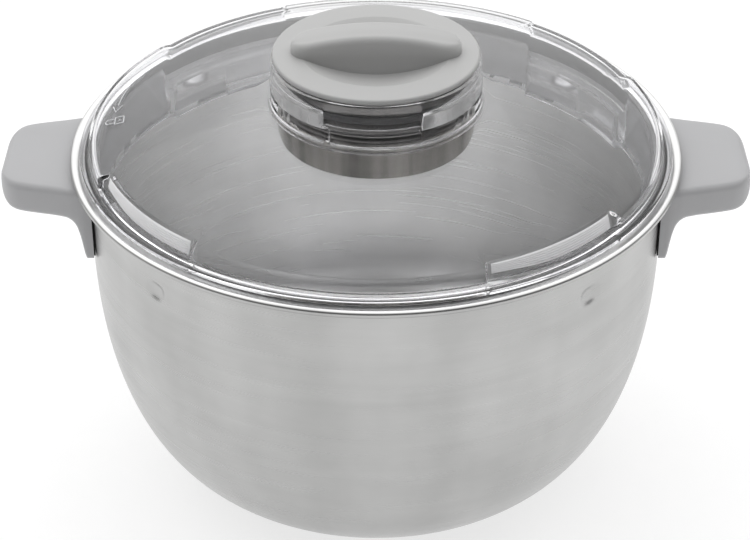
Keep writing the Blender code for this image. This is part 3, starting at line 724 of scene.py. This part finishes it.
def make_base(materials):
    """Pressed cap under the bowl, with a shallow centre mark and a ring groove."""
    cap = [
        (0, BASE_GROOVE, 0),
        (14, BASE_GROOVE, 0.3), (14.6, 0, 0.3),
        (BASE_RADIUS - 9.6, 0, 0.3), (BASE_RADIUS - 9.0, BASE_GROOVE, 0.3),
        (BASE_RADIUS - 7.0, BASE_GROOVE, 0.3), (BASE_RADIUS - 6.4, 0, 0.3),
        (BASE_RADIUS, 0, 1.4),
        (BASE_RADIUS, BASE_TOP, 0.3),
        (BASE_RADIUS - BASE_SHEET, BASE_TOP, 0.3),
        (BASE_RADIUS - BASE_SHEET, BASE_SHEET, 0.5),
        (0, BASE_SHEET, 0),
    ]
    turned_piece("ringed_base_cap", cap, materials["base"], "bowl", ["base_cap"])


# ---- handles

# Distance out from the seat, share of the seat's curve, bottom and top from the rim, half width
GRIP_STATIONS = (
    (0.0, 1.00, -36.0, -3.4, 32.0),
    (2.5, 1.00, -36.0, -3.4, 32.0),
    (3.2, 1.00, -34.4, -3.4, 32.0),
    (3.9, 0.96, -29.0, -3.4, 31.9),
    (4.6, 0.92, -24.2, -3.4, 31.8),
    (5.4, 0.85, -20.6, -3.4, 31.6),
    (6.6, 0.74, -18.3, -3.4, 31.3),
    (8.6, 0.60, -17.1, -3.4, 30.6),
    (12.5, 0.30, -16.9, -3.4, 29.2),
    (17.2, 0.05, -16.9, -3.4, 27.9),
    (22.8, 0.00, -16.9, -3.4, 26.4),
    (26.3, 0.00, -16.8, -3.4, 25.2),
    (29.2, 0.00, -16.5, -3.5, 23.2),
    (31.3, 0.00, -15.8, -3.9, 20.4),
    (32.8, 0.00, -14.7, -4.7, 17.2),
    (33.8, 0.00, -13.2, -6.0, 13.4),
    (34.25, 0.00, -11.6, -7.6, 9.6),
)
GRIP_ROUNDING = 3.0
GRIP_PARTS = 5


def station_slope(stations, index, item, run):
    """Harmonic mean of the slopes beside a station; at the ends, level but for the distance."""
    if index in (0, len(stations) - 1):
        return 0.0 if item else run
    left = stations[index][item] - stations[index - 1][item]
    right = stations[index + 1][item] - stations[index][item]
    return 2 * left * right / (left + right) if left * right > 0 else 0.0


def smooth_stations(stations, parts):
    """Stations with more in between, on a curve that never overshoots its points."""
    made = []
    for index in range(len(stations) - 1):
        for part in range(parts):
            t = part / parts
            row = []
            for item in range(len(stations[0])):
                a, b = stations[index][item], stations[index + 1][item]
                m0 = station_slope(stations, index, item, b - a)
                m1 = station_slope(stations, index + 1, item, b - a)
                value = ((2 * t ** 3 - 3 * t ** 2 + 1) * a + (t ** 3 - 2 * t ** 2 + t) * m0
                         + (3 * t ** 2 - 2 * t ** 3) * b + (t ** 3 - t ** 2) * m1)
                row.append(value)
            made.append(tuple(row))
    made.append(tuple(stations[-1]))
    return made


def grip_loop(station, flat_steps=14, corner_steps=6):
    """Rounded rectangle round the handle; its upper and lower halves share their widths."""
    out, curved, bottom, top, half_width = station
    middle = RIM_HEIGHT + (bottom + top) / 2
    half_height = (top - bottom) / 2
    rounding = min(GRIP_ROUNDING, half_height * 0.95, half_width * 0.95)
    chain = [(-half_width, 0.0)]
    for step in range(corner_steps + 1):
        turn = math.radians(90) * step / corner_steps
        chain.append((-half_width + rounding * (1 - math.cos(turn)),
                      half_height - rounding * (1 - math.sin(turn))))
    for step in range(1, flat_steps):
        chain.append(((half_width - rounding) * (2 * step / flat_steps - 1), half_height))
    for y, z in reversed(chain[:corner_steps + 2]):
        chain.append((-y, z))
    upper, lower = [], []
    for y, z in chain:
        seat_x = math.sqrt(SEAT_RADIUS ** 2 - y ** 2)
        x = out + seat_x * curved + SEAT_RADIUS * (1 - curved)
        upper.append((x, y, middle + z))
        lower.append((x, y, middle - z))
    return upper + lower[-2:0:-1]


def ladder(loop):
    """End of a loop, made of strips between its upper and lower halves."""
    faces = []
    count = len(loop)
    for step in range(count // 2):
        quad = (loop[step], loop[step + 1], loop[(count - step - 1) % count], loop[-step % count])
        faces.append(tuple(dict.fromkeys(quad)))
    return faces


def half_turn(points, side):
    """Points drawn for the right side, turned to the side asked for."""
    if side == "right":
        return points
    return [(-x, -y, z) for x, y, z in points]


def bake_boolean(item, solid, operation="DIFFERENCE"):
    """Cut the item with a solid, or join them, and keep the result as its mesh."""
    other = linked("cutter", closed_mesh("cutter", *solid))
    modifier = item.modifiers.new("boolean", "BOOLEAN")
    modifier.operation = operation
    modifier.solver = "EXACT"
    modifier.object = other
    bpy.context.view_layer.update()
    evaluated = item.evaluated_get(bpy.context.evaluated_depsgraph_get())
    mesh = bpy.data.meshes.new_from_object(evaluated)
    item.modifiers.clear()
    item.data = mesh
    bpy.data.objects.remove(other, do_unlink=True)


def cut_on_side(item, solid, side):
    """Cut with a solid drawn for the right side."""
    verts, faces = solid
    bake_boolean(item, (half_turn(verts, side), faces))


def rounded_plan(half_x, half_y, corner, steps=6):
    """Rounded rectangle about the origin, anticlockwise."""
    points = []
    for sign_x, sign_y, start in ((1, 1, 0), (-1, 1, 90), (-1, -1, 180), (1, -1, 270)):
        for step in range(steps + 1):
            turn = math.radians(start + 90 * step / steps)
            points.append((sign_x * (half_x - corner) + corner * math.cos(turn),
                           sign_y * (half_y - corner) + corner * math.sin(turn)))
    return points


def stacked(centre, levels):
    """Solid through level rings; each level is (height, plan points)."""
    rows = []
    for z, plan in levels:
        rows.append([(centre[0] + x, centre[1] + y, z) for x, y in plan])
    return lofted(rows)


def sector(inner, outer, half_angle, bottom, top, steps=8):
    """Part of a thick tube, centred on +X."""
    outline = ((inner, bottom), (outer, bottom), (outer, top), (inner, top))
    rows = []
    for step in range(steps + 1):
        rows.append(at_angle(outline, math.radians(half_angle) * (2 * step / steps - 1)))
    return lofted(rows)


def make_grip(side, materials):
    """Handle with room for the bracket's welds and a recess for the cover plate."""
    rows = [grip_loop(station) for station in smooth_stations(GRIP_STATIONS, GRIP_PARTS)]
    verts, faces = lofted(rows, ladder)
    grip = add_piece(side + "_moulded_grip", half_turn(verts, side), faces, materials["handle"],
                     "bowl", [side + "_handle_grip"])
    weld_room = sector(SEAT_RADIUS - 3, WELD_OUTER + FIT_GAP, PAD_WINDOW_HALF_ANGLE,
                       WELD_BOTTOM - FIT_GAP, TONGUE_TOP + 0.4)
    cut_on_side(grip, weld_room, side)
    plan = rounded_plan(*COVER_RECESS_PLAN)
    recess = [(EAR_BOTTOM - 5, plan), (EAR_BOTTOM + COVER_THICKNESS + FIT_GAP, plan)]
    cut_on_side(grip, stacked((SCREW_X, 0), recess), side)
    shade_smoothly(grip.data, GRIP_SHARP_ANGLE)


def make_cover(side, materials):
    """Cover plate with softened edges and two counterbores for the screw heads."""
    levels = []
    for inset, rise in COVER_LEVELS:
        levels.append((EAR_BOTTOM + rise, rounded_plan(*[size - inset for size in COVER_PLAN])))
    verts, faces = stacked((SCREW_X, 0), levels)
    cover = add_piece(side + "_screw_cover", half_turn(verts, side), faces, materials["handle"],
                      "bowl", [side + "_handle_cover"])
    for end in (-1, 1):
        for radius, low, high in SCREW_BORES:
            circle = rounded_plan(radius, radius, radius, 8)
            bore = [(EAR_BOTTOM + low, circle), (EAR_BOTTOM + high, circle)]
            cut_on_side(cover, stacked((SCREW_X, end * SCREW_Y), bore), side)
    shade_smoothly(cover.data, SCREW_SHARP_ANGLE)


def screw_profile():
    """Half outline of the screw: low head, thread and blunt end, from below."""
    profile = [(r, EAR_BOTTOM + rise) for r, rise in SCREW_HEAD]
    thread_steps = 20
    for step in range(thread_steps):
        z = EAR_BOTTOM + THREAD_START + (SCREW_TOP - EAR_BOTTOM - 2.4) * step / thread_steps
        profile.append((THREAD_RADIUS if step % 2 else THREAD_ROOT, z))
    return profile + [(1.4, SCREW_TOP - 0.3), (0, SCREW_TOP)]


def make_screw(side, end, materials):
    """Low-head screw with a cross recess, under the handle."""
    profile = screw_profile()
    verts, faces = turned(lambda angle: profile, range(0, 360, 10))
    centre = (SCREW_X, end * SCREW_Y)
    place = [(x + centre[0], y + centre[1], z) for x, y, z in verts]
    facing = end if side == "right" else -end
    where = "back" if facing > 0 else "front"
    screw = add_piece(side + "_cross_screw_" + where, half_turn(place, side), faces,
                      materials["screw"], "bowl",
                      [side + "_handle_screw_" + where])
    for long_x, long_y in ((1.9, 0.35), (0.35, 1.9)):
        arm = [(EAR_BOTTOM - 1, rounded_plan(long_x, long_y, 0.3, 2)),
               (EAR_BOTTOM + 1.0, rounded_plan(long_x * 0.7, long_y * 0.8, 0.2, 2))]
        cut_on_side(screw, stacked(centre, arm), side)
    shade_smoothly(screw.data, SCREW_SHARP_ANGLE)


# ---- lid

def dome(r):
    """Height of the lid's upper face at a distance from the axis."""
    return COLLAR_FOOT - (r ** 2 - COLLAR_RADIUS ** 2) / (2 * DOME_RADIUS)


def lid_section(angle):
    """Outline of the lid at an angle: collar, dome, shoulder, flange, skirt, back underneath."""
    pocket = ramp(angle, POCKET_START, POCKET_END, 360 / LUG_COUNT)
    catch = ramp(angle, POCKET_START, CATCH_END, 360 / LUG_COUNT)
    rail = ramp(angle, RAIL_START, RAIL_END, 360 / RAIL_COUNT)
    stop = ramp(angle, RAIL_START, RAIL_START + STOP_WIDTH, 360 / RAIL_COUNT)

    def mix(plain, scooped):
        return plain + (scooped - plain) * pocket

    rail_radius = COLLAR_BORE - RAIL_DEPTH * rail
    stop_radius = COLLAR_BORE - RAIL_DEPTH * stop
    skirt = mix(SKIRT_RADIUS, SKIRT_POCKET_RADIUS)
    catch_radius = skirt + (SKIRT_RADIUS - SKIRT_POCKET_RADIUS) * catch
    edge_height = mix(dome(DOME_EDGE_RADIUS), dome(POCKET_BRINK_RADIUS))
    corners = [
        (COLLAR_BORE, COLLAR_UNDER, 0.4),
        (COLLAR_BORE, RAIL_BOTTOM - 5.4, 0.2),
        (stop_radius, RAIL_BOTTOM - 5.2, 0.2),
        (stop_radius, RAIL_BOTTOM - 0.1, 0.1),
        (rail_radius, RAIL_BOTTOM, 0.1),
        (rail_radius, RAIL_TOP - 0.2, 0.3),
        (COLLAR_BORE, RAIL_TOP, 0.3),
        (COLLAR_BORE, COLLAR_TOP, 0.4),
        (COLLAR_RADIUS - 0.65, COLLAR_TOP, 0.5),
        (COLLAR_RADIUS, COLLAR_FOOT, 1.0),
    ]
    for step in range(DOME_STEPS + 1):
        r = DOME_INNER + (DOME_OUTER - DOME_INNER) * step / DOME_STEPS
        corners.append((r, dome(r), 0))
    corners += [
        (mix(DOME_EDGE_RADIUS, POCKET_TOP_RADIUS), edge_height, mix(3.6, 0.9)),
        (mix(STEP_RADIUS - 0.1, POCKET_FOOT_RADIUS), mix(POCKET_LEDGE + 0.5, POCKET_LEDGE), 0.2),
        (STEP_RADIUS - 0.1, POCKET_LEDGE, 0),
        (STEP_RADIUS, FLANGE_TOP, 0),
        (FLANGE_RADIUS, FLANGE_TOP, 1.0),
        (FLANGE_RADIUS, FLANGE_BOTTOM, 0.4),
        (SKIRT_RADIUS, FLANGE_BOTTOM, 0.4),
        (SKIRT_RADIUS, RIM_HEIGHT - 8.0, 0.3),
        (skirt, RIM_HEIGHT - 9.2, 0.3),
        (skirt, SKIRT_BOTTOM + 3.0, 0.2),
        (catch_radius, SKIRT_BOTTOM + 2.6, 0.3),
        (catch_radius, SKIRT_BOTTOM, 0.5),
        (skirt - LID_SHEET, SKIRT_BOTTOM, 0.6),
        (skirt - LID_SHEET, RIM_HEIGHT - 9.6, 0.6),
        (SKIRT_RADIUS - LID_SHEET, RIM_HEIGHT - 7.6, 0.6),
        (SKIRT_RADIUS - LID_SHEET, FLANGE_BOTTOM + 0.6, 0.8),
        (mix(STEP_RADIUS, POCKET_FOOT_RADIUS) - LID_SHEET, FLANGE_TOP + 0.5, 0.8),
        (mix(DOME_EDGE_RADIUS, POCKET_TOP_RADIUS) - LID_SHEET, edge_height - LID_SHEET,
         mix(2.2, 0.8)),
    ]
    for step in range(DOME_STEPS + 1):
        r = DOME_OUTER - (DOME_OUTER - DOME_INNER_UNDER) * step / DOME_STEPS
        corners.append((r, dome(r) - LID_SHEET, 0))
    corners += [
        (COLLAR_RADIUS, dome(COLLAR_RADIUS) - LID_SHEET, 0.5),
        (COLLAR_RADIUS, COLLAR_UNDER, 0.4),
    ]
    return round_corners(corners, 5)


def make_lid(materials):
    edges = repeats((POCKET_START, CATCH_END, POCKET_END), LUG_COUNT)
    edges += repeats((RAIL_START, RAIL_START + STOP_WIDTH, RAIL_END), RAIL_COUNT)
    verts, faces = turned(lid_section, turn_angles(edges))
    add_piece("clear_lid", verts, faces, materials["lid"], "lid", ["lid_shell"])


def rib_outline(share):
    """Section of the ribbed band; share runs from nothing to one along the pocket."""
    top = dome(POCKET_TOP_RADIUS) - 0.9
    foot = POCKET_LEDGE + 0.25
    fade = smooth_step(share / RIB_FADE) * smooth_step((1 - share) / RIB_FADE)
    taper = smooth_step((RIB_TAPER_SPAN - share) / RIB_TAPER_SPAN)
    low = foot + (top - foot) * RIB_TAPER * taper
    profile = [(low, -RIB_SINK)]
    points = 2 * RIB_COUNT
    for point in range(points + 1):
        lift = RIB_BACKING + RIB_DEPTH * (point % 2) * fade
        profile.append((low + (top - low) * point / points, lift))
    profile.append((top, -RIB_SINK))
    outline = []
    for z, lift in profile:
        slope = (dome(POCKET_TOP_RADIUS) - z) / (dome(POCKET_TOP_RADIUS) - POCKET_LEDGE)
        r = POCKET_TOP_RADIUS + (POCKET_FOOT_RADIUS - POCKET_TOP_RADIUS) * slope + lift
        outline.append((r, z))
    return outline


def make_pocket_ribs(materials):
    """Frosted ribbed band on the outer face of each pocket's wall, thinner towards one end."""
    start = POCKET_START + RIB_END_GAP
    span = POCKET_END - POCKET_START - 2 * RIB_END_GAP
    bands = []
    for pocket in range(LUG_COUNT):
        rows = []
        for step in range(RIB_STEPS + 1):
            share = step / RIB_STEPS
            turn = math.radians(start + span * share + 360 * pocket / LUG_COUNT)
            rows.append(at_angle(rib_outline(share), turn))
        bands.append(lofted(rows))
    verts, faces = merged(bands)
    add_piece("lid_pocket_ribs", verts, faces, materials["ribs"], "lid",
              sharp_angle=RIB_SHARP_ANGLE)


def raised_stroke(points):
    """Thin raised line on the dome through (radius, angle) points."""
    flat = []
    for r, angle in points:
        turn = math.radians(angle)
        flat.append(Vector((r * math.cos(turn), r * math.sin(turn))))
    rows = []
    for index, here in enumerate(flat):
        before = flat[max(0, index - 1)]
        after = flat[min(len(flat) - 1, index + 1)]
        run = (after - before).normalized()
        side = Vector((-run.y, run.x)) * STROKE_WIDTH / 2
        row = []
        for offset, rise in ((side, -STROKE_SINK), (-side, -STROKE_SINK),
                             (-side * 0.7, STROKE_LIFT), (side * 0.7, STROKE_LIFT)):
            spot = here + offset
            row.append((spot.x, spot.y, dome(spot.length) + rise))
        rows.append(row)
    return lofted(rows)


def padlock_strokes():
    """Outline, shackle and keyhole as (radius, angle) lines."""
    radii = (PADLOCK_INNER, PADLOCK_OUTER)
    sides = (PADLOCK_ANGLE - PADLOCK_HALF_ANGLE, PADLOCK_ANGLE + PADLOCK_HALF_ANGLE)
    sides_of_body = [[(r, angle) for r in radii] for angle in sides]
    ends_of_body = [[(r, angle) for angle in sides] for r in radii]
    shackle = []
    for rise, turn in ((0.4, -1), (3.2, -1), (4.0, 0), (3.2, 1), (0.4, 1)):
        shackle.append((PADLOCK_OUTER + rise, PADLOCK_ANGLE + turn * SHACKLE_HALF_ANGLE))
    keyhole = [(104.3, PADLOCK_ANGLE - 0.25), (105.0, PADLOCK_ANGLE + 0.25)]
    return sides_of_body + ends_of_body + [shackle, keyhole]


def arrow_strokes(steps=8):
    shaft = []
    for step in range(steps + 1):
        shaft.append((ARROW_RADIUS, ARROW_START + (ARROW_END - ARROW_START) * step / steps))
    return [shaft, ARROW_HEAD]


def make_lock_mark(materials):
    """Generic padlock and arrow moulded into the lid, showing which way it turns to lock."""
    verts, faces = merged(raised_stroke(line) for line in padlock_strokes() + arrow_strokes())
    add_piece("lid_lock_mark", verts, faces, materials["mark"], "lid",
              sharp_angle=STROKE_SHARP_ANGLE)


def make_seals(materials):
    """Ribbed sleeve on the lid's skirt and ring round the cup."""
    sleeve = [(r, RIM_HEIGHT + rise, rounding) for r, rise, rounding in LID_SEAL_CORNERS]
    turned_piece("ribbed_lid_seal", sleeve, materials["seal"], "lid_seal_ring",
                 ["lid_seal"], steps=3)
    ring = [(r, RIM_HEIGHT + rise, rounding) for r, rise, rounding in CAP_SEAL_CORNERS]
    turned_piece("ribbed_cap_seal", ring, materials["seal"], "cap_seal_ring",
                 ["cap_seal"], steps=4)


# ---- cap and cup

def cup_section(angle):
    """Outline of the cup at an angle, with its three tabs under the collar's rails."""
    tab = ramp(angle, TAB_ANGLE - TAB_HALF_ANGLE, TAB_ANGLE + TAB_HALF_ANGLE, 360 / RAIL_COUNT)
    tab_radius = CUP_RADIUS + TAB_DEPTH * tab
    inner = CUP_RADIUS - CUP_WALL
    corners = [
        (0, CUP_FLOOR - CUP_FLOOR_SHEET, 0),
        (inner, CUP_FLOOR - CUP_FLOOR_SHEET, 3.0),
        (inner, CUP_BOTTOM, 0.7),
        (CUP_RADIUS - 0.1, CUP_BOTTOM, 0.7),
        (CUP_RADIUS, RAIL_BOTTOM - 4.6, 0.2),
        (tab_radius, RAIL_BOTTOM - 4.4, 0.3),
        (tab_radius, RAIL_BOTTOM - 0.9, 0.3),
        (CUP_RADIUS, RAIL_BOTTOM - 0.7, 0.2),
        (CUP_RADIUS, CUP_TOP, 0.4),
        (CUP_RADIUS - CUP_LIP, CUP_TOP, 0.4),
        (CUP_RADIUS - CUP_LIP, CUP_FLOOR, 0.4),
        (0, CUP_FLOOR, 0),
    ]
    return round_corners(corners, 5)


def make_cup(materials):
    edges = repeats((TAB_ANGLE - TAB_HALF_ANGLE, TAB_ANGLE + TAB_HALF_ANGLE), RAIL_COUNT)
    verts, faces = turned(cup_section, turn_angles(edges))
    add_piece("taupe_cup_painted_shade", verts, faces, materials["cup"], "cap", ["cap_cup"])


def scoop_height(r):
    """Height of the finger scoop's floor at a distance from the axis."""
    return CAP_TOP - DISH_DEPTH * (1 - (r / DISH_RADIUS) ** 2)


def grip_bar_row(along, side_steps=8, corner_steps=8):
    """Cross-section of the grip bar; along runs from -1 to 1 between its tips."""
    x = GRIP_HALF_LENGTH * along
    taper_length = GRIP_HALF_LENGTH - GRIP_TAPER_FROM
    end = min(1.0, max(0.0, (abs(x) - GRIP_TAPER_FROM) / taper_length))
    widening = max(0.0, 1 - end ** GRIP_TIP_POWER) ** 0.5
    half_width = GRIP_TIP_HALF_WIDTH + (GRIP_HALF_WIDTH - GRIP_TIP_HALF_WIDTH) * widening
    rise = math.cos(math.radians(90) * along) ** GRIP_ARCH_POWER
    top = CAP_TOP + GRIP_END_RISE + (GRIP_RISE - GRIP_END_RISE) * rise
    top -= GRIP_TIP_DROP * (1 - math.sqrt(max(0.0, 1 - end ** GRIP_TIP_DROP_POWER)))
    rounding = min(GRIP_ROUNDING_TOP, half_width * 0.8)
    half = [(-half_width, CAP_TOP - DISH_DEPTH - 1.0), (-half_width, top - rounding)]
    for step in range(1, corner_steps + 1):
        turn = math.radians(90) * step / corner_steps
        half.append((-half_width + rounding * (1 - math.cos(turn)),
                     top - rounding * (1 - math.sin(turn))))
    for step in range(1, side_steps):
        share = step / side_steps
        half.append(((-half_width + rounding) * (1 - share), top + GRIP_CROWN * smooth_step(share)))
    mirrored = [(-y, z) for y, z in reversed(half)]
    return [(x, y, z) for y, z in half + [(0, top + GRIP_CROWN)] + mirrored]


def grip_bar(stations=72):
    """Arched bar across the cap, lofted along X with rounded upper edges and ends."""
    rows = []
    for station in range(stations + 1):
        rows.append(grip_bar_row(math.sin(math.radians(90) * (2 * station / stations - 1))))
    return lofted(rows)


def make_cap(materials):
    """Dished cap; the grip bar is joined to it so that one skin runs over both."""
    scoop_steps = 14
    disc = []
    for step in range(scoop_steps + 1):
        r = (DISH_RADIUS - 1.3) * step / scoop_steps
        disc.append((r, scoop_height(r), 0))
    disc += [
        (DISH_RADIUS + 0.5, CAP_TOP, 1.2),
        (CAP_RADIUS, CAP_TOP, 1.1),
        (CAP_RADIUS, CAP_UNDERSIDE, 0.7),
        (CUP_RADIUS - 2.1, CAP_UNDERSIDE, 0.4),
        (CUP_RADIUS - 2.1, CUP_FLOOR + 0.3, 0.5),
        (0, CUP_FLOOR + 0.3, 0),
    ]
    cover = turned_piece("dished_cap", disc, materials["cap"], "cap",
                         ["cap_cover"])
    bake_boolean(cover, grip_bar(), "UNION")
    shade_smoothly(cover.data, GRIP_SHARP_ANGLE)


# ---- what stays from the frame

def dress_frame_nodes(materials):
    """Materials for the CAD nodes that stay visible as they are."""
    finishes = {"base_disc": "disc"}
    for side in ("left", "right"):
        finishes[side + "_handle_bracket"] = "strip"
        finishes[side + "_handle_gasket"] = "pad"
    for name, finish in finishes.items():
        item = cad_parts[name]
        item.data.materials.clear()
        item.data.materials.append(materials[finish])


# ---- stage, light, camera

def make_floor():
    """Pale paper just under the vessel; its glow keeps shadows as faint as in a product shot."""
    marks = [FLOOR_SIZE * (step / FLOOR_STEPS - 0.5) for step in range(FLOOR_STEPS + 1)]
    verts = [(x, y, -FLOOR_DROP) for y in marks for x in marks]
    faces = []
    for row in range(FLOOR_STEPS):
        for column in range(FLOOR_STEPS):
            corner = row * (FLOOR_STEPS + 1) + column
            above = corner + FLOOR_STEPS + 1
            faces.append((corner, corner + 1, above + 1, above))
    mesh = bpy.data.meshes.new("floor")
    mesh.from_pydata(verts, [], faces)
    floor = linked("floor", mesh)
    material, tree, shader = new_material("floor_paper", {
        "Roughness": 0.9, "Emission Color": (1, 1, 1, 1), "Emission Strength": FLOOR_GLOW})
    grain = noise(tree, object_coords(tree), scale=90.0)
    colour = mix_colour(tree, grain, (0.37, 0.37, 0.37, 1), (0.40, 0.40, 0.40, 1))
    tree.links.new(colour, shader.inputs["Base Color"])
    mesh.materials.append(material)


def make_world():
    """Pale studio: bright overhead and behind the bowl, dark on the camera's side."""
    world = bpy.data.worlds.new("studio")
    bpy.context.scene.world = world
    world.use_nodes = True
    tree = world.node_tree
    background = tree.nodes["Background"]
    direction = node(tree, "TexCoord").outputs["Generated"]
    facing = node(tree, "VectorMath", {0: direction, 1: SKY_TOWARDS},
                  operation="DOT_PRODUCT").outputs["Value"]
    strength = node(tree, "MapRange", {"Value": facing, "From Min": SKY_DARK_AT,
                                       "From Max": SKY_BRIGHT_AT, "To Min": SKY_DARK,
                                       "To Max": SKY_BRIGHT}, interpolation_type="SMOOTHSTEP")
    tree.links.new(strength.outputs[0], background.inputs["Strength"])
    background.inputs["Color"].default_value = (1.0, 1.0, 1.0, 1.0)


def aim_at(item, place, target):
    """Place a lamp or camera so that it looks at the target."""
    item.location = place
    aim = Vector(target) - Vector(item.location)
    item.rotation_euler = aim.to_track_quat("-Z", "Y").to_euler()


def make_light():
    light = bpy.data.lights.new("back_softbox", "AREA")
    light.shape = "RECTANGLE"
    light.size, light.size_y = SOFTBOX_SIZE
    light.energy = SOFTBOX_POWER
    aim_at(linked("back_softbox", light), SOFTBOX_PLACE, SOFTBOX_TARGET)


def make_camera():
    camera = bpy.data.cameras.new("camera")
    camera.sensor_width = CAMERA_SENSOR_MM
    camera.lens = CAMERA_LENS_MM
    camera.clip_end = CAMERA_CLIP_END
    camera.shift_x = CAMERA_SHIFT_X
    item = linked("camera", camera)
    aim_at(item, CAMERA_PLACE, CAMERA_TARGET)
    bpy.context.scene.camera = item


def allow_deep_light_paths():
    """Enough bounces for light to get through the nested clear walls of lid, collar and cup."""
    cycles = bpy.context.scene.cycles
    cycles.max_bounces = 32
    cycles.transmission_bounces = 32
    cycles.glossy_bounces = 16
    cycles.transparent_max_bounces = 32


def main():
    make_camera()
    make_world()
    make_light()
    make_floor()
    bpy.context.scene.view_settings.view_transform = "Standard"
    allow_deep_light_paths()
    materials = make_materials()
    make_bowl(materials)
    make_base(materials)
    for side in ("left", "right"):
        make_grip(side, materials)
        make_cover(side, materials)
        for end in (-1, 1):
            make_screw(side, end, materials)
    make_seals(materials)
    make_lid(materials)
    make_pocket_ribs(materials)
    make_lock_mark(materials)
    make_cup(materials)
    make_cap(materials)
    dress_frame_nodes(materials)


main()
